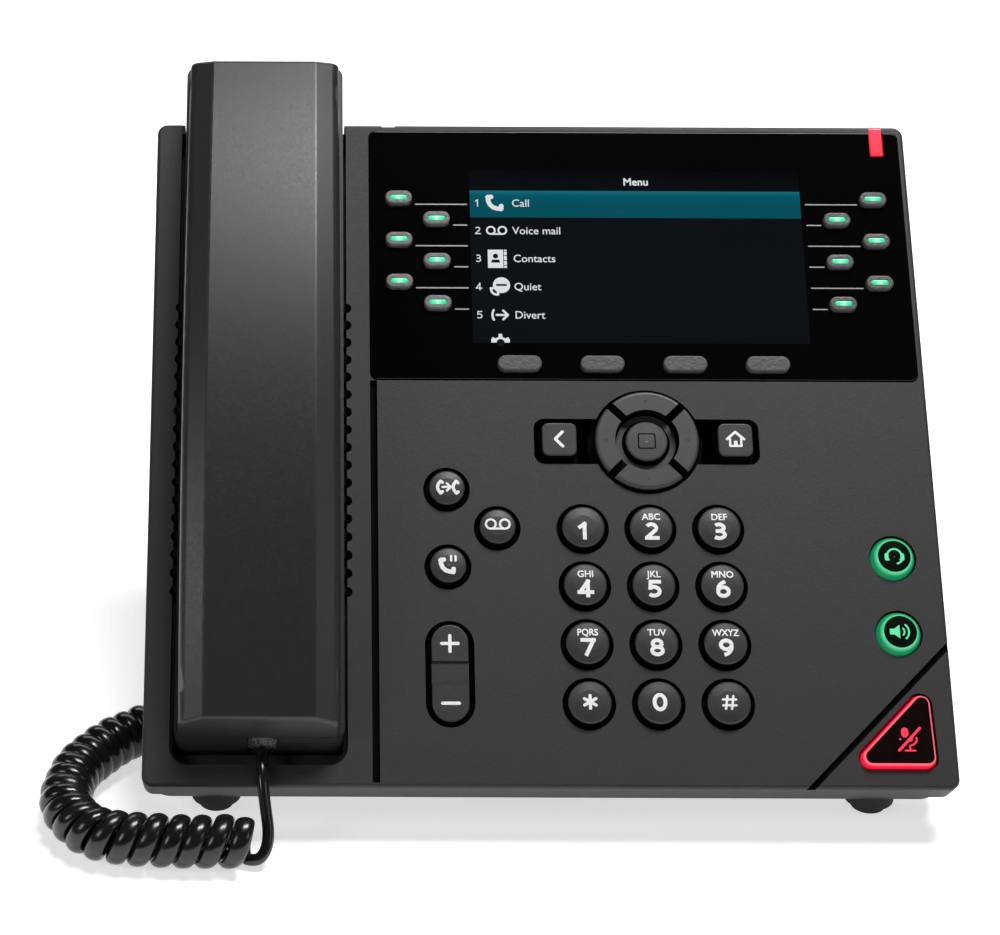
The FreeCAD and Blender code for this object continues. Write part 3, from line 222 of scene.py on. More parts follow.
steel.uneven_gloss(700, 0.28, 0.45)
steel = steel.material
solder_green = Look("board_green", (0.01, 0.09, 0.04), 0.4)
solder_green.mottle(300, [(0.008, 0.07, 0.03), (0.015, 0.12, 0.05)])
solder_green = solder_green.material
# White key print, with a faint painted glow added.
legend = Look("legend_white_painted_glow", (0.8, 0.8, 0.8), 0.5)
legend.mottle(900, [0.74, 0.84]).glow((1.0, 1.0, 1.0), 0.06)
legend = legend.material
# Grey panel print, with a faint painted glow added.
print_grey_painted_glow = Look("print_grey_painted_glow", (0.3, 0.3, 0.3), 0.4)
print_grey_painted_glow.mottle(900, [0.26, 0.34]).glow((1.0, 1.0, 1.0), 0.02)
print_grey_painted_glow = print_grey_painted_glow.material
dot_ink = Look("dot_mark", (0.004, 0.004, 0.004), 0.6)
dot_ink.mottle(900, [0.003, 0.006])
dot_ink = dot_ink.material


def lit_wall(name, deep, mid, bright, strength):
    """A light pipe's wall, dim at its foot and brightest at its rim."""
    look = Look(name, (0.01, 0.01, 0.01), 0.3)
    source = look.ramp(look.height(), -2.0, 1.9, [deep, mid, mid, bright])
    return look.glow(source, strength).material


green_wall = lit_wall("lit_green", (0.0, 0.03, 0.012), (0.004, 0.24, 0.085), (0.09, 0.8, 0.36), 0.9)
red_wall = lit_wall("lit_red", (0.12, 0.0, 0.004), (0.8, 0.01, 0.045), (1.0, 0.2, 0.26), 1.1)
green_disc = Look("green_disc", (0.002, 0.006, 0.003), 0.2)
green_disc.mottle(200, [(0.001, 0.004, 0.002), (0.002, 0.007, 0.003)])
green_disc = green_disc.material
red_disc = Look("red_disc", (0.006, 0.002, 0.002), 0.2)
red_disc.mottle(200, [(0.004, 0.001, 0.001), (0.008, 0.002, 0.002)])
red_disc = red_disc.material
green_icon = Look("green_icon", (0.02, 0.2, 0.1), 0.4)
green_icon.mottle(500, [(0.02, 0.18, 0.09), (0.03, 0.22, 0.12)]).glow((0.12, 0.72, 0.36), 0.9)
green_icon = green_icon.material
red_icon = Look("red_icon", (0.2, 0.01, 0.02), 0.4)
red_icon.mottle(500, [(0.18, 0.01, 0.02), (0.22, 0.01, 0.03)]).glow((0.95, 0.035, 0.09), 0.95)
red_icon = red_icon.material
lamp_red = Look("lamp_red", (0.35, 0.01, 0.02), 0.25)
lamp_red.glow(
    lamp_red.ramp(lamp_red.up(), 186, 197,
                  [(0.9, 0.012, 0.035), (1.0, 0.03, 0.075), (1.0, 0.035, 0.085)]),
    0.95)
lamp_red = lamp_red.material
window_light = Look("window_light", (0.02, 0.1, 0.06), 0.3)
window_light.glow(
    window_light.ramp(window_light.along((1, 0, 0)), -2.4, 2.4,
                      [(0.0, 0.62, 0.22), (0.03, 0.85, 0.4), (0.4, 1.0, 0.66),
                       (0.03, 0.85, 0.4), (0.0, 0.62, 0.22)]),
    0.95)
window_light = window_light.material


def paint(node, *materials):
    """Give a CAD node its materials; the first one covers all of it."""
    mesh = CAD[node].data
    mesh.materials.clear()
    for material in materials:
        mesh.materials.append(material)
    for face in mesh.polygons:
        face.material_index = 0


def repaint(node, index, test):
    """Give one of a node's materials to the faces that pass a test made in
    face millimetres on the face's middle and its direction."""
    inverse = FACE.inverted()
    turn = inverse.to_3x3()
    for face in CAD[node].data.polygons:
        middle = inverse @ face.center * 1000
        if test(middle, turn @ face.normal):
            face.material_index = index


# ---------------------------------------------------------------- small builders


def add_piece(name, mesh, body, material, smooth=True):
    piece = bpy.data.objects.new(name, mesh)
    scene.collection.objects.link(piece)
    if material:
        mesh.materials.append(material)
    for face in mesh.polygons:
        face.use_smooth = smooth
    if body:
        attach(piece, body)
    return piece


class Ink:
    """Flat artwork in millimetres: filled outlines, strokes and lettering."""

    def __init__(self):
        self.corners = []
        self.lifts = []
        self.faces = []
        self.layer = 0
        self.turn = Matrix.Identity(3)

    def add(self, x, y):
        """One corner; each outline lies a hair above the one before it."""
        spot = self.turn @ Vector((x, y, 1))
        self.corners.append((spot.x, spot.y))
        self.lifts.append(self.layer * LAYER_LIFT)

    def place(self, x=0.0, y=0.0, size=1.0, degrees=0.0):
        """What is drawn next is scaled, turned and moved."""
        a = math.radians(degrees)
        self.turn = Matrix((
            (size * math.cos(a), -size * math.sin(a), x),
            (size * math.sin(a), size * math.cos(a), y),
            (0, 0, 1),
        ))
        return self

    def fill(self, points):
        first = len(self.corners)
        self.layer += 1
        for x, y in points:
            self.add(x, y)
        self.faces.append(list(range(first, len(self.corners))))
        return self

    def disc(self, x, y, radius, count=28):
        turns = [math.tau * i / count for i in range(count)]
        return self.fill([(x + radius * math.cos(a), y + radius * math.sin(a)) for a in turns])

    def stroke(self, points, width, closed=False):
        half = width / 2
        if closed:
            points = [*points, points[0]]
        for (ax, ay), (bx, by) in zip(points, points[1:]):
            length = math.hypot(bx - ax, by - ay)
            if length < 1e-6:
                continue
            nx = -(by - ay) / length * half
            ny = (bx - ax) / length * half
            self.fill([
                (ax - nx, ay - ny), (bx - nx, by - ny), (bx + nx, by + ny), (ax + nx, ay + ny)
            ])
        for x, y in points:
            self.disc(x, y, half, 16)
        return self

    def ribbon(self, points, width):
        """A stroke with flat ends; a straight one is lengthened by half its width."""
        spots = [Vector(p) for p in points]
        if len(spots) == 2:
            way = (spots[1] - spots[0]).normalized() * width / 2
            spots = [spots[0] - way, spots[1] + way]
        edges = []
        for i, spot in enumerate(spots):
            way = (spots[min(i + 1, len(spots) - 1)] - spots[max(i - 1, 0)]).normalized()
            side = Vector((-way.y, way.x)) * width / 2
            edges.append((spot + side, spot - side))
        for (a, b), (c, d) in zip(edges, edges[1:]):
            self.fill([tuple(a), tuple(b), tuple(d), tuple(c)])
        return self

    def arc(self, x, y, radius, start, stop, width, count=20):
        steps = [math.radians(start + (stop - start) * i / count) for i in range(count + 1)]
        line = [(x + radius * math.cos(a), y + radius * math.sin(a)) for a in steps]
        return self.stroke(line, width)

    def ring(self, x, y, radius, width):
        return self.arc(x, y, radius, 0, 360, width, 36)

    def words(self, text, x, y, tall, weight=0.0, align="CENTER", stretch=1.0):
        """Lettering whose capitals are `tall` millimetres; y is its baseline.
        `weight` thickens it, in millimetres, by laying shifted copies over it."""
        curve = bpy.data.curves.new("lettering", "FONT")
        curve.body = text
        curve.align_x = align
        curve.size = 1.0
        curve.resolution_u = 3
        holder = bpy.data.objects.new("lettering", curve)
        scene.collection.objects.link(holder)
        bpy.context.view_layer.update()
        drawn = bpy.data.meshes.new_from_object(
            holder.evaluated_get(bpy.context.evaluated_depsgraph_get())
        )
        scale = (tall - weight * 2) / CAPITAL
        shifts = [(0, 0)]
        if weight:
            shifts = [(weight * math.cos(a), weight * math.sin(a)) for a in FOUR_WAYS]
        for dx, dy in shifts:
            first = len(self.corners)
            self.layer += 1
            for corner in drawn.vertices:
                across = corner.co.x * scale * stretch
                self.add(x + dx + across, y + weight + dy + corner.co.y * scale)
            for face in drawn.polygons:
                self.faces.append([first + i for i in face.vertices])
        bpy.data.meshes.remove(drawn)
        bpy.data.objects.remove(holder)
        bpy.data.curves.remove(curve)
        return self

    def lay(self, name, body, slot, material, u=0.0, v=0.0, level=0.0, fine=0.0):
        """Lay the artwork on the face at a height, or over a height function."""
        mesh = bpy.data.meshes.new(name)
        build = bmesh.new()
        spots = [
            build.verts.new((x, y, lift)) for (x, y), lift in zip(self.corners, self.lifts)
        ]
        for face in self.faces:
            try:
                build.faces.new([spots[i] for i in face])
            except ValueError:
                continue
        bmesh.ops.triangulate(build, faces=build.faces[:])
        for face in build.faces:
            if face.normal.z < 0:
                face.normal_flip()
        if fine:
            for _ in range(3):
                long = [e for e in build.edges if e.calc_length() > fine]
                if long:
                    bmesh.ops.subdivide_edges(build, edges=long, cuts=1)
                    bmesh.ops.triangulate(build, faces=build.faces[:])
        for spot in build.verts:
            x, y = spot.co.x, spot.co.y
            w = level(x, y) if callable(level) else level
            spot.co = on_face(u + x, v + y, w + spot.co.z)
        build.to_mesh(mesh)
        build.free()
        return add_piece(name, mesh, body, material, smooth=False)


LAYER_LIFT = 0.0001
FOUR_WAYS = [math.radians(a) for a in (45, 135, 225, 315)]
CAPITAL = 1.0
probe = Ink().words("H", 0, 0, 1.0)
CAPITAL = max(y for x, y in probe.corners)


def bow(x, y, across, tall, start, stop):
    """Points on an oval, from one angle to another."""
    count = max(6, int(abs(stop - start) / 12))
    turns = [math.radians(start + (stop - start) * i / count) for i in range(count + 1)]
    return [(x + across * math.cos(a), y + tall * math.sin(a)) for a in turns]


DIGITS = {
    0: [bow(0, 0.5, 0.29, 0.5, 0, 360)],
    1: [[(-0.2, 0.78), (0.05, 1.0)], [(0.05, 1.0), (0.05, 0.0)]],
    2: [bow(-0.01, 0.72, 0.26, 0.28, 155, -35) + [(-0.28, 0.02)], [(-0.28, 0.0), (0.31, 0.0)]],
    3: [bow(-0.04, 0.755, 0.27, 0.245, 135, -90), bow(-0.04, 0.26, 0.31, 0.26, 90, -140),
        [(-0.12, 0.515), (0.0, 0.515)]],
    4: [[(0.11, 0.0), (0.11, 1.0)], [(0.11, 1.0), (-0.3, 0.26)], [(-0.36, 0.23), (0.34, 0.23)]],
    5: [[(0.26, 1.0), (-0.2, 1.0)], [(-0.2, 1.0), (-0.23, 0.55)],
        bow(-0.04, 0.31, 0.31, 0.31, 125, -140)],
    6: [bow(0.01, 0.31, 0.29, 0.31, 0, 360), bow(0.22, 0.42, 0.5, 0.6, 100, 180)],
    7: [[(-0.3, 1.0), (0.32, 1.0)], [(0.3, 0.98), (-0.08, 0.0)]],
    8: [bow(0, 0.755, 0.24, 0.245, 0, 360), bow(0, 0.26, 0.29, 0.26, 0, 360)],
    9: [bow(-0.01, 0.69, 0.29, 0.31, 0, 360), bow(-0.22, 0.58, 0.5, 0.6, -80, 0)],
}


def digit(ink, value, x, y, tall, width):
    """A numeral made of flat-ended strokes, standing on y."""
    reach = tall - width
    for line in DIGITS[value]:
        ink.ribbon([(x + a * tall, y + width / 2 + b * reach) for a, b in line], width)


def receiver(ink, x, y, tall, degrees=0.0):
    """A telephone handset seen from the side, its handle to the left."""
    ink.place(x, y, tall, degrees)
    upper = [(0.1, 0.4), (-0.03, 0.27), (-0.11, 0.1)]
    ink.stroke(upper + [(x, -y) for x, y in reversed(upper)], 0.2)
    ink.stroke([(0.07, 0.4), (0.19, 0.31)], 0.21)
    ink.stroke([(0.07, -0.4), (0.19, -0.31)], 0.21)
    return ink.place()


TAPE_WIDTH = 7.1


def tape(ink, x, y, wide):
    """The two reels of a voice message."""
    ink.place(x, y, wide / TAPE_WIDTH)
    ink.ring(-1.95, 0.2, 1.35, 0.6)
    ink.ring(1.95, 0.2, 1.35, 0.6)
    ink.stroke([(-1.95, -1.15), (1.95, -1.15)], 0.6)
    return ink.place()


# ---------------------------------------------------------------- cord

COIL_LEVEL = 7.35


def desk(points):
    """Points in millimetres from the front edge of the face, on the desk."""
    return [Vector((x, y + FRONT_EDGE, z)) * MM for x, y, z in points]


def smooth_line(points, fineness=16):
    """The NURBS line that has these control points, as evenly read points."""
    curve = bpy.data.curves.new("route", "CURVE")
    curve.dimensions = "3D"
    spline = curve.splines.new("NURBS")
    spline.points.add(len(points) - 1)
    for slot, point in zip(spline.points, points):
        slot.co = (*point, 1)
    spline.order_u = 3
    spline.use_endpoint_u = True
    curve.resolution_u = fineness
    holder = bpy.data.objects.new("route", curve)
    scene.collection.objects.link(holder)
    bpy.context.view_layer.update()
    line = bpy.data.meshes.new_from_object(
        holder.evaluated_get(bpy.context.evaluated_depsgraph_get())
    )
    found = [v.co.copy() for v in line.vertices]
    bpy.data.meshes.remove(line)
    bpy.data.objects.remove(holder)
    bpy.data.curves.remove(curve)
    return found


def travel(line):
    """Distance along the line at each of its points."""
    gone = [0.0]
    for a, b in zip(line, line[1:]):
        gone.append(gone[-1] + (b - a).length)
    return gone


def at(line, gone, distance):
    """Point and direction at a distance along the line."""
    distance = min(max(distance, 0.0), gone[-1])
    low, high = 0, len(gone) - 2
    while low < high:
        middle = (low + high + 1) // 2
        if gone[middle] <= distance:
            low = middle
        else:
            high = middle - 1
    run = line[low + 1] - line[low]
    part = (distance - gone[low]) / max(gone[low + 1] - gone[low], 1e-9)
    before = line[low] - line[max(low - 1, 0)]
    after = line[min(low + 2, len(line) - 1)] - line[low + 1]
    way = (before.normalized() * (1 - part) + run.normalized() * 2 + after.normalized() * part)
    return line[low] + run * part, way.normalized()


coil_route = desk([
    (-80.6, -11.2, COIL_LEVEL), (-100.0, -11.8, COIL_LEVEL), (-120.5, -9.6, COIL_LEVEL),
    (-130.6, 5.0, COIL_LEVEL), (-127.8, 24.5, COIL_LEVEL), (-115.5, 41.5, COIL_LEVEL),
    (-97.0, 53.0, COIL_LEVEL), (-75.0, 59.5, COIL_LEVEL), (-52.0, 61.5, COIL_LEVEL),
    (-29.0, 59.0, COIL_LEVEL),
])
coil_line = smooth_line(coil_route)
coil_gone = travel(coil_line)
COIL_RADIUS = 5.6
COIL_LEAN = 1.3
STRAND_HALF = 2.6
STRAND_THIN = 1.6
LEAD_HALF = 1.6
CLOSEST = 0.4
PITCH = 5.05
PITCH_SPREAD = 0.18
LAST_PITCH = 5.2
BACK_CLEAR = 7.4
JUNCTION = 12
EASE_BEFORE = 10
EASE_PASSES = 30
EASE_SHARE = 0.4
LOWEST = 1.65
POINTS_PER_TURN = 24

# Where the strand crosses the front of the coil, measured along its axis:
# loose where it starts, and closer together further back.
crossings = [2.2, 8.7, 14.4, 20.0, 26.2, 31.7, 37.2, 42.3]
while crossings[-1] < coil_gone[-1] / MM - BACK_CLEAR:
    crossings.append(crossings[-1] + PITCH + random.uniform(-PITCH_SPREAD, PITCH_SPREAD))


def turns_at(distance):
    """How many turns the strand has made at a distance along the coil."""
    if distance <= crossings[0]:
        return -0.75 * (1 - distance / crossings[0])
    for i in range(len(crossings) - 1):
        if distance <= crossings[i + 1]:
            return i + (distance - crossings[i]) / (crossings[i + 1] - crossings[i])
    return len(crossings) - 1 + (distance - crossings[-1]) / LAST_PITCH


def coil_spot(distance):
    """A point of the helix and its direction away from the coil's axis."""
    centre, way = at(coil_line, coil_gone, distance * MM)
    side = way.cross(Vector((0, 0, 1))).normalized()
    angle = math.tau * turns_at(distance) + math.pi
    out = side * math.cos(angle) + Vector((0, 0, 1)) * math.sin(angle)
    wobble = 0.16 * math.sin(distance * 0.9) + 0.1 * math.sin(distance * 2.3 + 1)
    spot = centre + out * (COIL_RADIUS + min(wobble, 0.1)) * MM
    return spot - way * math.sin(angle) * COIL_LEAN * MM, out


helix = []
helix_out = []
distance = 0.0
coil_end = coil_gone[-1] / MM
# The strand leaves the coil low down, where the straight lead meets it.
last_turn = math.floor(turns_at(coil_end) - 0.25) + 0.25
while distance < coil_end and turns_at(distance) < last_turn:
    spot, out = coil_spot(distance)
    helix.append(spot)
    helix_out.append(out)
    per_mm = (turns_at(distance + 0.01) - turns_at(distance)) / 0.01
    distance += 1 / (POINTS_PER_TURN * max(per_mm, 0.1))

mouth = on_face(-76.5, 10.4, 0.1)
front_control = [mouth, on_face(-76.5, 8.8, 0.65)] + desk([
    (-76.5, -0.92, 20.83), (-75.5, -5.5, 13.8), (-74.5, -9.1, 8.3),
    (-75.3, -12.4, 4.6), (-77.9, -13.6, 2.3),
]) + [helix[0]]
base_mouth = on_face(-24.0, 81.8, -19.4)
base_straight = on_face(-24.0, 71.0, -19.4)
base_control = [helix[-1]] + desk([
    (-27.5, 56.2, 1.9), (-21.5, 56.0, 2.8), (-15.2, 57.0, 6.2), (-10.6, 57.0, 12.4),
    (-11.2, 57.8, 18.8), (-16.5, 59.2, 27.0), (-22.0, 60.3, 38.5),
]) + [base_straight, base_mouth]
front_line = smooth_line(front_control)
base_line = smooth_line(base_control)
strand = front_line[:-1] + helix + base_line[1:]
shape = [(LEAD_HALF, LEAD_HALF)] * len(strand)
lead_count = len(front_line) - 1
# The strand flattens where it enters the coil, and its corners there are eased.
for i in range(len(strand)):
    into = min(i - lead_count, lead_count + len(helix) - i)
    share = min(max((into + EASE_BEFORE) / (EASE_BEFORE + JUNCTION), 0.0), 1.0)
    share = share * share * (3 - 2 * share)
    shape[i] = (
        LEAD_HALF + (STRAND_HALF - LEAD_HALF) * share, LEAD_HALF + (STRAND_THIN - LEAD_HALF) * share
    )
outward = [helix_out[0]] * lead_count + helix_out + [helix_out[-1]] * (len(base_line) - 1)
for _ in range(EASE_PASSES):
    for i in range(1, len(strand) - 1):
        near_start = abs(i - lead_count) < JUNCTION
        near_end = abs(i - lead_count - len(helix)) < JUNCTION
        if near_start or near_end:
            eased = (strand[i - 1] + strand[i + 1]) / 2
            eased.z = max(eased.z, LOWEST * MM)
            strand[i] = strand[i].lerp(eased, EASE_SHARE)
kept = [0]
for i in range(1, len(strand)):
    if (strand[i] - strand[kept[-1]]).length >= CLOSEST * MM:
        kept.append(i)
strand = [strand[i] for i in kept]
outward = [outward[i] for i in kept]
shape = [shape[i] for i in kept]


def sweep(name, line, outs, sections, sides=16):
    """A tube with an oval section along a line, its flat side facing `outs`."""
    build = bmesh.new()
    rings = []
    hold = outs[0]
    for i, spot in enumerate(line):
        way = (line[min(i + 1, len(line) - 1)] - line[max(i - 1, 0)]).normalized()
        out = outs[i] - way * outs[i].dot(way)
        if out.length < 0.2:
            out = hold - way * hold.dot(way)
        out.normalize()
        hold = out
        across = way.cross(out)
        wide, thin = sections[i]
        ring = []
        for k in range(sides):
            a = math.tau * k / sides
            ring.append(build.verts.new(
                spot + (across * math.cos(a) * wide + out * math.sin(a) * thin) * MM
            ))
        rings.append(ring)
    for a, b in zip(rings, rings[1:]):
        for k in range(sides):
            n = (k + 1) % sides
            build.faces.new((a[k], a[n], b[n], b[k]))
    build.faces.new(rings[0][::-1])
    build.faces.new(rings[-1])
    bmesh.ops.recalc_face_normals(build, faces=build.faces[:])
    mesh = bpy.data.meshes.new(name)
    build.to_mesh(mesh)
    build.free()
    return mesh


cord = add_piece("handset_cord", sweep("handset_cord", strand, outward, shape), None, cable)
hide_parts("cord_leads", "cord_coil")
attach(cord, "base")
cord_length = travel(strand)[-1]
print("cord length", round(cord_length, 4), "turns", round(last_turn, 2))

# ---------------------------------------------------------------- materials on the frame

DIAL = ["key_1", "key_2", "key_3", "key_4", "key_5", "key_6",
        "key_7", "key_8", "key_9", "key_star", "key_0", "key_pound"]
FUNCTION = ["transfer_key", "messages_key", "hold_key"]
SOFT = [f"soft_key_{i}" for i in range(1, 5)]
LINE = [f"line_key_{side}_{i}" for side in ("left", "right") for i in range(1, 7)]
NAV = ["nav_up_key", "nav_down_key", "nav_left_key", "nav_right_key"]


NAV_MIDDLE = (29.55, 97.7)
# What is sunk below this height is painted as shade: near-black inside these edges of the face, and
# a darker plastic in the handset channel.
SUNK = -0.06
CHANNEL_SIDE = -53
FACE_SIDE = 107
FACE_LOW = 1.2
FACE_HIGH = 194.6


def middle_of(node):
    """A node's middle in the face frame, in millimetres."""
    low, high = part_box(node)
    return FACE.inverted() @ ((low + high) / 2) * 1000


for node in CAD:
    paint(node, housing)
paint("front_cover", housing, painted_shade_black, channel_painted_shade, nav_skin)
# Sunk faces of the front cover are painted shade: darker plastic in the handset channel, near-black
# elsewhere on the face.
repaint("front_cover", 2, lambda p, n: p.z < SUNK and p.x < CHANNEL_SIDE)
repaint("front_cover", 1, lambda p, n: p.z < SUNK and CHANNEL_SIDE <= p.x < FACE_SIDE
        and FACE_LOW < p.y < FACE_HIGH)
repaint("front_cover", 3, lambda p, n: -2.2 < p.z < -1.0 and n.z > 0.9
        and 6.3 < math.hypot(p.x - NAV_MIDDLE[0], p.y - NAV_MIDDLE[1]) < 8.5)
for node in ("handset_outer_shell", "handset_inner_shell"):
    paint(node, handset_skin)
# Key sides and flanges below the caps are painted near-black as painted shade.
for node in DIAL + FUNCTION + ["back_key", "home_key", "volume_rocker", "hook_switch"]:
    paint(node, key_skin, painted_shade_black)
    repaint(node, 1, lambda p, n: p.z < 0.3 or (n.z < 0.3 and p.z < 1.5))
for node in NAV + ["select_key"]:
    paint(node, nav_skin, painted_shade_black)
    repaint(node, 1, lambda p, n: p.z < 0.2 or (n.z < 0.3 and p.z < 0.6))
# The groove of the select key's square is painted near-black as painted shade.
mark = middle_of("select_key")
repaint("select_key", 1, lambda p, n: p.z < 0.5 and abs(p.x - mark.x) < 2.55
        and abs(p.y - mark.y) < 2.35 and (abs(n.z) < 0.5 or p.z < 0.35))
for node in SOFT:
    paint(node, soft_skin)
# Right-hand line keys get the darker copy, as painted shade.
for node in LINE:
    paint(node, line_skin if "left" in node else line_skin_painted_shade)
for node in ("headset_key", "speaker_key"):
    paint(node, green_wall, green_disc)
    repaint(node, 1, lambda p, n: n.z > 0.97 and p.z > 1.8)
paint("mute_key", red_wall, red_disc)
repaint("mute_key", 1, lambda p, n: n.z > 0.97 and p.z > 1.8)
paint("message_lamp", lamp_red)
paint("display_window", gloss_black)
paint("display_module", dark_inside)
# The keypad mat, seen down the wells, is painted near-black as painted shade.
paint("keypad_mat", painted_shade_black)
paint("main_board", solder_green, dark_inside)
repaint("main_board", 1, lambda p, n: p.z < -12.25 and p.y > 80)
paint("loudspeaker", dark_inside)
paint("rubber_feet", rubber)

# ---------------------------------------------------------------- key legends

LETTERS = ["", "ABC", "DEF", "GHI", "JKL", "MNO", "PQRS", "TUV", "WXYZ"]
DIAL_CAP = 5.77
FUNCTION_CAP = 4.87
KEY_RISE = 1.9
DOME_RISE = 0.45
DOME_BEND = 0.55
DOME_SHARE = 0.7
CAP_ROUNDING = 0.4
INK_LIFT = 0.03
ROCKER_RISE = 1.2
LIT_RISE = 2.01


def domed(cap):
    """Height of a round key's top at a place from its middle: a cone that
    carries most of the dome's rise, and a flatter one inside it."""
    bend = cap * DOME_BEND
    edge = cap - CAP_ROUNDING

    def height(x, y):
        r = math.hypot(x, y)
        if r > bend:
            return KEY_RISE + DOME_RISE * DOME_SHARE * (edge - r) / (edge - bend) + INK_LIFT
        share = DOME_SHARE + (1 - DOME_SHARE) * (bend - r) / bend
        return KEY_RISE + DOME_RISE * share + INK_LIFT
    return height


def place_of(node):
    middle = middle_of(node)
    return middle.x, middle.y


for i, node in enumerate(DIAL):
    ink = Ink()
    if i < 9:
        digit(ink, i + 1, 0, -3.75, 4.95, 1.05)
        if LETTERS[i]:
            wide = 0.9 if len(LETTERS[i]) == 4 else 0.98
            ink.words(LETTERS[i], 0, 1.9, 1.95, 0.07, stretch=wide)
    elif node == "key_0":
        digit(ink, 0, 0, -2.5, 5.0, 1.05)
    elif node == "key_star":
        for turn in (0, 60, 120):
            ink.place(0, 0, 1, turn).stroke([(0, -1.75), (0, 1.75)], 0.85)
        ink.place()
    else:
        for off in (-0.8, 0.8):
            ink.stroke([(off - 0.28, -1.75), (off + 0.28, 1.75)], 0.62)
            ink.stroke([(-1.75, off), (1.75, off)], 0.62)
    u, v = place_of(node)
    ink.lay(f"{node}_legend", f"{node}_body", "key", legend, u, v, domed(DIAL_CAP), fine=0.9)
u, v = place_of("key_5")
Ink().disc(-2.9, 0.45, 0.28).disc(2.9, 0.45, 0.28).lay(
    "key_5_guide", "key_5_body", "key", dot_ink, u, v, domed(DIAL_CAP)
)

transfer = Ink()
receiver(transfer, -2.1, 0, 4.3)
receiver(transfer, 2.2, 0, 4.3)
transfer.stroke([(-1.25, 0), (0.9, 0)], 0.62)
transfer.stroke([(-0.05, 1.05), (1.0, 0), (-0.05, -1.05)], 0.62)
messages = tape(Ink(), 0, 0.3, 7.0)
hold = Ink()
receiver(hold, -0.75, -0.75, 6.0, 45)
hold.stroke([(0.75, 1.1), (0.75, 2.4)], 0.62)
hold.stroke([(1.95, 1.1), (1.95, 2.4)], 0.62)
for node, ink in zip(FUNCTION, (transfer, messages, hold)):
    u, v = place_of(node)
    ink.lay(f"{node}_legend", f"{node}_body", "key", legend, u, v, domed(FUNCTION_CAP), fine=0.9)

u, v = place_of("back_key")
Ink().stroke([(0.85, 2.1), (-1.15, 0.0), (0.85, -2.1)], 0.85).lay(
    "back_key_legend", "back_key_body", "key", legend, u, v, KEY_RISE + INK_LIFT
)
u, v = place_of("home_key")
house = Ink().stroke([(-2.35, 0.15), (0, 2.25), (2.35, 0.15)], 0.72)
house.stroke([(-1.55, 0.2), (-1.55, -1.85), (1.55, -1.85), (1.55, 0.2)], 0.62)
house.fill([(-0.5, -1.85), (0.5, -1.85), (0.5, -0.35), (-0.5, -0.35)])
house.lay("home_key_legend", "home_key_body", "key", legend, u, v, KEY_RISE + INK_LIFT)

u, v = place_of("volume_rocker")
plus = Ink().stroke([(-2.2, 8.1), (2.2, 8.1)], 0.9).stroke([(0, 5.9), (0, 10.3)], 0.9)
plus.stroke([(-2.2, -8.4), (2.2, -8.4)], 0.9)
plus.lay("volume_legend", "volume", "key", legend, u, v, ROCKER_RISE + INK_LIFT)

u, v = place_of("headset_key")
phones = Ink().arc(0, 0.1, 1.95, -35, 215, 0.5, 30)
phones.stroke([(-2.15, -0.75), (-2.15, 0.35)], 1.05).stroke([(2.15, -0.75), (2.15, 0.35)], 1.05)
phones.arc(0.35, -0.35, 1.75, -15, -78, 0.5, 12)
phones.lay("headset_key_icon", "headset_key_body", "lit_green", green_icon, u, v,
           LIT_RISE + INK_LIFT)
u, v = place_of("speaker_key")
box = Ink().fill([(-2.9, -0.8), (-1.7, -0.8), (-0.2, -1.9), (-0.2, 1.9), (-1.7, 0.8), (-2.9, 0.8)])
box.arc(-0.3, 0, 1.35, -42, 42, 0.45, 12).arc(-0.3, 0, 2.55, -48, 48, 0.5, 16)
box.lay("speaker_key_icon", "speaker_key_body", "lit_green", green_icon, u, v,
        LIT_RISE + INK_LIFT)

MUTE_MIDDLE = (95.1, 13.0)
muted = Ink().place(*MUTE_MIDDLE)
muted.stroke([(-0.95, 2.35), (-0.95, 1.5)], 1.9)
muted.stroke([(0.35, 0.75), (0.35, 0.2)], 1.5)
muted.arc(0.2, 0.35, 1.9, -75, 5, 0.5, 14)
muted.stroke([(0.2, -1.6), (0.2, -2.9)], 0.5).stroke([(-1.1, -2.95), (1.5, -2.95)], 0.5)
muted.disc(-2.3, 0.1, 0.28)
muted.place()
muted.lay("mute_key_icon", "mute_key_body", "lit_red", red_icon, level=1.93)
Ink().place(*MUTE_MIDDLE).stroke([(-3.35, -2.75), (2.55, 3.35)], 0.8).lay(
    "mute_key_gap", "mute_key_body", "lit_red", red_disc, level=1.945
)
Ink().place(*MUTE_MIDDLE).stroke([(-2.75, -2.9), (3.1, 3.15)], 0.72).lay(
    "mute_key_slash", "mute_key_body", "lit_red", red_icon, level=1.96
)

NAV_DOT_REACH = 11.4
for node, (right, up) in zip(NAV, ((0, 1), (0, -1), (-1, 0), (1, 0))):
    Ink().ring(0, 0, 0.3, 0.16).lay(
        f"{node}_dot", f"{node}_body", "key", dot_ink,
        NAV_MIDDLE[0] + right * NAV_DOT_REACH, NAV_MIDDLE[1] + up * NAV_DOT_REACH, 1.62
    )

# ---------------------------------------------------------------- lit windows of the line keys


PILL_SIDES = 32


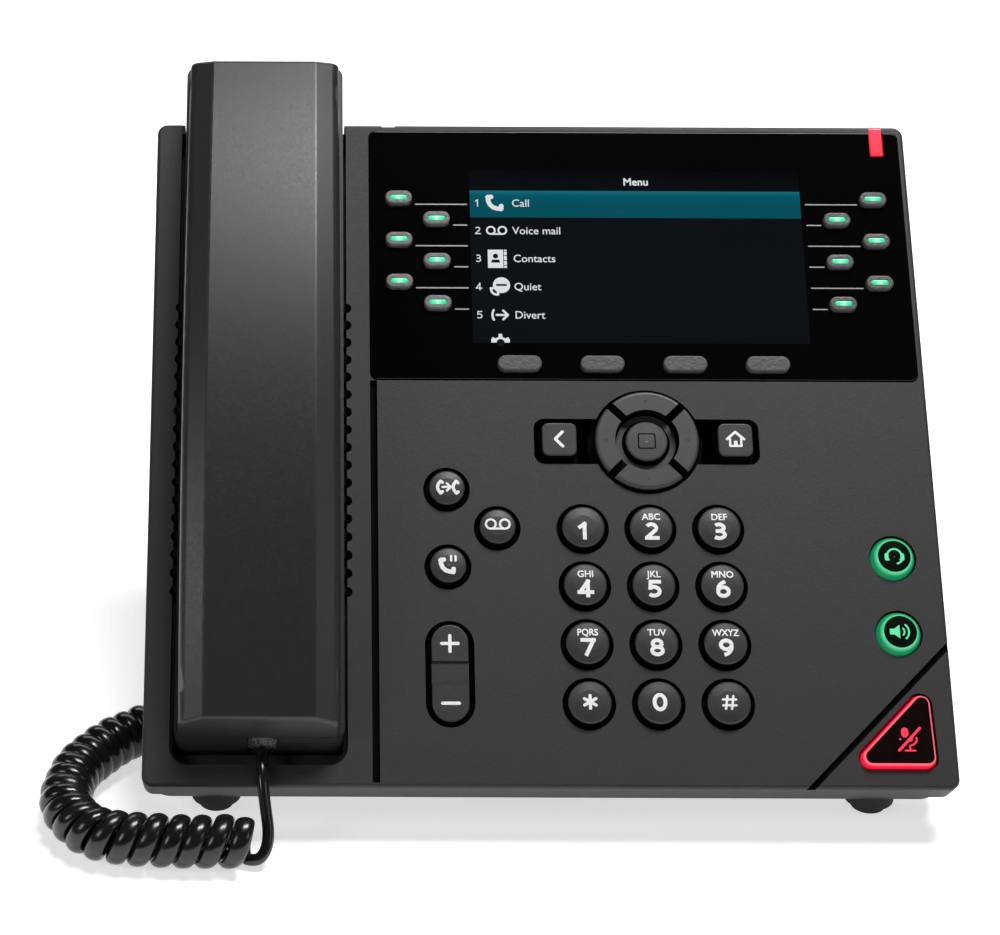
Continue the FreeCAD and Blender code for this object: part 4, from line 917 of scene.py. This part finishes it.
def pill_mesh(name, wide, tall, top, crown):
    """A light window with round ends, its edge rolled over by `crown`."""
    build = bmesh.new()
    loops = []
    for inset, drop in ((0.0, crown * 2.2), (0.06, crown), (0.18, crown * 0.3), (0.4, 0.0)):
        radius = tall / 2 - inset
        reach = (wide - tall) / 2
        loop = []
        for i in range(PILL_SIDES):
            a = math.tau * (i + 0.5) / PILL_SIDES
            x = radius * math.cos(a) + (reach if math.cos(a) > 0 else -reach)
            loop.append(build.verts.new((x * MM, radius * math.sin(a) * MM, (top - drop) * MM)))
        loops.append(loop)
    for a, b in zip(loops, loops[1:]):
        for i in range(PILL_SIDES):
            n = (i + 1) % PILL_SIDES
            build.faces.new((a[i], a[n], b[n], b[i]))
    build.faces.new(loops[-1])
    build.faces.new(loops[0][::-1])
    mesh = bpy.data.meshes.new(name)
    build.to_mesh(mesh)
    build.free()
    return mesh


for node in LINE:
    u, v = place_of(node)
    light = add_piece(f"{node}_light", pill_mesh(f"{node}_light", 5.0, 1.5, 1.75, 0.07),
                      None, window_light)
    light.matrix_world = FACE @ Matrix.Translation((u * MM, v * MM, 0))
    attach(light, f"{node}_body")

# ---------------------------------------------------------------- screen

SCREEN = (-18.1, 127.1, 77.0, 181.0)


def glowing(name, source, strength=1.0):
    look = Look(name, (0.0015, 0.0015, 0.002), 0.07)
    look.uneven_gloss(25, 0.05, 0.085)
    if callable(source):
        source = source(look)
    return look.glow(source, strength).material


backdrop = glowing("screen_backdrop", lambda look: look.ramp(
    look.up(), SCREEN[1], SCREEN[3],
    [(0.0022, 0.004, 0.006), (0.0025, 0.0046, 0.0068), (0.0026, 0.0044, 0.0062),
     (0.0024, 0.004, 0.0055), (0.0026, 0.0036, 0.0042), (0.0004, 0.0008, 0.002)]))
bar_light = glowing("screen_bar", lambda look: look.ramp(
    look.up(), 166.0, 174.6,
    [(0.0, 0.072, 0.098), (0.0, 0.076, 0.104), (0.0, 0.07, 0.098), (0.0, 0.078, 0.108),
     (0.0, 0.085, 0.12), (0.004, 0.15, 0.21)]))
screen_ink = glowing("screen_ink", (0.78, 0.82, 0.84), 0.9)
screen_dark = glowing("screen_cutout", (0.0045, 0.007, 0.0095))


def panel(left, low, right, high):
    return [(left, low), (right, low), (right, high), (left, high)]


Ink().fill(panel(*SCREEN)).lay("screen_backdrop", "base", "screen", backdrop, level=0.315)
Ink().fill(panel(SCREEN[0], 166.05, SCREEN[2], 174.55)).lay(
    "screen_bar", "base", "screen", bar_light, level=0.33)
ROWS = [170.55, 161.85, 153.1, 144.35, 135.6]
WORDS = ["Call", "Voice mail", "Contacts", "Quiet", "Divert"]
ink = Ink()
ink.words("Menu", 29.9, 176.3, 2.4, 0.09)
for number, (level, word) in enumerate(zip(ROWS, WORDS), start=1):
    digit(ink, number, -16.0, level - 1.1, 2.3, 0.3)
    ink.words(word, -6.1, level - 1.1, 2.3, 0.02, align="LEFT")
receiver(ink, -11.4, ROWS[0] - 0.35, 6.6, 45)
tape(ink, -10.6, ROWS[1] - 0.1, 6.0)
level = ROWS[2]
ink.fill(panel(-13.3, level - 2.95, -8.9, level + 2.75))
for low, high in ((-2.95, -2.3), (-2.1, -0.8), (-0.55, 0.8), (1.05, 2.1), (2.3, 2.75)):
    ink.fill(panel(-8.7, level + low, -7.9, level + high))
level = ROWS[3]
ink.disc(-9.6, level + 0.45, 2.45)
receiver(ink, -11.85, level - 1.7, 3.4, 45)
level = ROWS[4]
ink.arc(-9.4, level, 3.0, 150, 210, 0.6, 8)
ink.stroke([(-11.2, level), (-8.3, level)], 0.62)
ink.stroke([(-9.35, level + 1.35), (-8.0, level), (-9.35, level - 1.35)], 0.62)
gear = [(-7.7, 127.15), (-7.7, 127.6)]
for middle in (30, 90, 150):
    for turn, radius in ((-16, 1.95), (-10, 2.85), (10, 2.85), (16, 1.95)):
        a = math.radians(middle + turn)
        gear.append((-10.3 + radius * math.cos(a), 127.0 + radius * math.sin(a)))
ink.fill([*gear, (-12.9, 127.6), (-12.9, 127.15)])
ink.lay("screen_words", "base", "screen", screen_ink, level=0.345)
cut = Ink().disc(-11.1, ROWS[2] + 0.75, 0.75)
cut.fill([
    (-12.4, ROWS[2] - 1.3), (-9.8, ROWS[2] - 1.3), (-10.1, ROWS[2] - 0.35), (-12.1, ROWS[2] - 0.35)
])
cut.stroke([(-10.9, ROWS[3] + 0.5), (-8.3, ROWS[3] + 0.5)], 0.6)
cut.disc(-10.3, 127.1, 1.15)
cut.lay("screen_cutouts", "base", "screen", screen_dark, level=0.385)

lines = Ink()
LINE_KEY_TOP = 171.75
LINE_KEY_STEP = 6.55
for i in range(6):
    v = LINE_KEY_TOP - LINE_KEY_STEP * i
    lines.stroke([(-33.7 if i % 2 == 0 else -22.8, v - 1.62), (-19.1, v - 1.62)], 0.4)
    lines.stroke([(78.5, v - 1.3), (93.2 if i % 2 == 0 else 82.5, v - 1.3)], 0.34)
lines.lay("panel_lines", "base", "panel", print_grey_painted_glow, level=0.325)

# ---------------------------------------------------------------- plugs and small parts


def block(build, low, high):
    made = bmesh.ops.create_cube(build, size=1.0)
    for spot in made["verts"]:
        spot.co = Vector([
            low[i] + (spot.co[i] + 0.5) * (high[i] - low[i]) for i in range(3)
        ]) * MM
    return made["verts"]


def plug(name, place, body):
    """A clear four-way modular plug, its cord end at y = 0."""
    build = bmesh.new()
    block(build, (-3.8, 0, -3.3), (3.8, 12.1, 2.7))
    block(build, (-1.6, 0.1, 2.75), (1.6, 9.5, 3.4))
    block(build, (-2.4, -0.02, -2.2), (-1.7, 3.0, 1.8))
    block(build, (1.7, -0.02, -2.2), (2.4, 3.0, 1.8))
    bmesh.ops.bevel(build, geom=build.edges[:], offset=0.25 * MM, segments=2, affect="EDGES")
    mesh = bpy.data.meshes.new(name)
    build.to_mesh(mesh)
    build.free()
    piece = add_piece(name, mesh, None, clear)
    piece.matrix_world = place
    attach(piece, body)
    build = bmesh.new()
    for i in range(4):
        x = -1.53 + 1.02 * i
        block(build, (x - 0.15, 9.0, 0.6), (x + 0.15, 12.12, 2.72))
    bmesh.ops.bevel(build, geom=build.edges[:], offset=0.04 * MM, segments=1, affect="EDGES")
    mesh = bpy.data.meshes.new(f"{name}_contacts")
    build.to_mesh(mesh)
    build.free()
    blades = add_piece(f"{name}_contacts", mesh, None, gold)
    blades.matrix_world = place
    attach(blades, body)
    return piece


in_handset = FACE @ Matrix.Translation((-0.0765, 0.0106, 0.0))
handset_plug = plug("clear_plug_handset", in_handset, "handset")
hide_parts("handset_plug")
in_base = FACE @ Matrix.Translation((-0.024, 0.0818, -0.0194))
base_plug = plug("clear_plug_base", in_base, "base")
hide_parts("base_plug")
SCREWS = {"left_low": (-48.0, 110.0), "left_high": (-48.3, 189.0), "right": (100.0, 106.0)}
SCREW_SEAT = -15.0
HEAD_RADIUS = 1.95
HEAD_HEIGHT = 1.2
for name, (u, v) in SCREWS.items():
    build = bmesh.new()
    bmesh.ops.create_cone(build, cap_ends=True, segments=32, radius1=HEAD_RADIUS * MM,
                          radius2=HEAD_RADIUS * MM, depth=HEAD_HEIGHT * MM)
    bmesh.ops.bevel(build, geom=build.edges[:], offset=0.2 * MM, segments=2, affect="EDGES")
    for high, wide in ((0.5, 2.2), (2.2, 0.5)):
        block(build, (-wide / 2, -high / 2, -0.64), (wide / 2, high / 2, -0.61))
    mesh = bpy.data.meshes.new(f"screw_{name}")
    build.to_mesh(mesh)
    build.free()
    screw = add_piece(f"screw_{name}", mesh, None, steel, smooth=False)
    # The cross recess in each screw head is painted near-black as painted shade.
    mesh.materials.append(painted_shade_black)
    for face in mesh.polygons:
        if face.center.z < -0.605 * MM:
            face.material_index = 1
    screw.matrix_world = FACE @ Matrix.Translation((u * MM, v * MM, (SCREW_SEAT - 0.62) * MM))
    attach(screw, "base")

# ---------------------------------------------------------------- stage, lights, camera

floor_mesh = bpy.data.meshes.new("floor")
build = bmesh.new()
bmesh.ops.create_grid(build, x_segments=2, y_segments=2, size=6.0)
build.to_mesh(floor_mesh)
build.free()
floor = bpy.data.objects.new("floor", floor_mesh)
scene.collection.objects.link(floor)
pale = Look("pale_floor", (0.9, 0.9, 0.9), 0.9)
pale.mottle(3, [0.89, 0.91]).glow((1.0, 1.0, 1.0), 0.62)
floor_mesh.materials.append(pale.material)


def softbox(name, where, target, width, height, power):
    light = bpy.data.lights.new(name, "AREA")
    light.shape = "RECTANGLE"
    light.size = width
    light.size_y = height
    light.energy = power
    holder = bpy.data.objects.new(name, light)
    holder.location = where
    holder.rotation_euler = (Vector(target) - Vector(where)).to_track_quat("-Z", "Y").to_euler()
    scene.collection.objects.link(holder)
    return holder


softbox("overhead", (0.27, 0.09, 1.32), (0, 0, 0.08), 0.34, 0.7, 18)
softbox("left_front", (-1.10, -0.72, 0.78), (0, 0, 0.08), 0.5, 0.5, 3.6)
softbox("right_front", (1.10, -0.72, 0.76), (0, 0, 0.08), 0.45, 0.45, 1.2)
softbox("behind", (0.0, 1.7, 1.1), (0, 0.5, 0), 2.0, 0.6, 8)
world = bpy.data.worlds.new("world")
world.use_nodes = True
world.node_tree.nodes["Background"].inputs["Color"].default_value = (1, 1, 1, 1)
world.node_tree.nodes["Background"].inputs["Strength"].default_value = 0.01
scene.world = world

CAMERA_PLACE = (-0.06834, -0.62542, 0.36810)
camera = bpy.data.cameras.new("camera")
camera.sensor_width = 36.0
camera.lens = 87.40
camera.shift_x = 0.2059
camera.clip_start = 0.01
camera.clip_end = 30
eye = bpy.data.objects.new("camera", camera)
right = Vector((0.99999, 0.00176, 0.00370))
forward = Vector((0.0, 0.90351, -0.42856)).normalized()
up = right.cross(forward).normalized()
right = forward.cross(up).normalized()
eye.matrix_world = Matrix.Translation(CAMERA_PLACE) @ Matrix((
    (right.x, up.x, -forward.x), (right.y, up.y, -forward.y), (right.z, up.z, -forward.z),
)).to_4x4()
scene.collection.objects.link(eye)
scene.camera = eye
scene.view_settings.view_transform = "Standard"
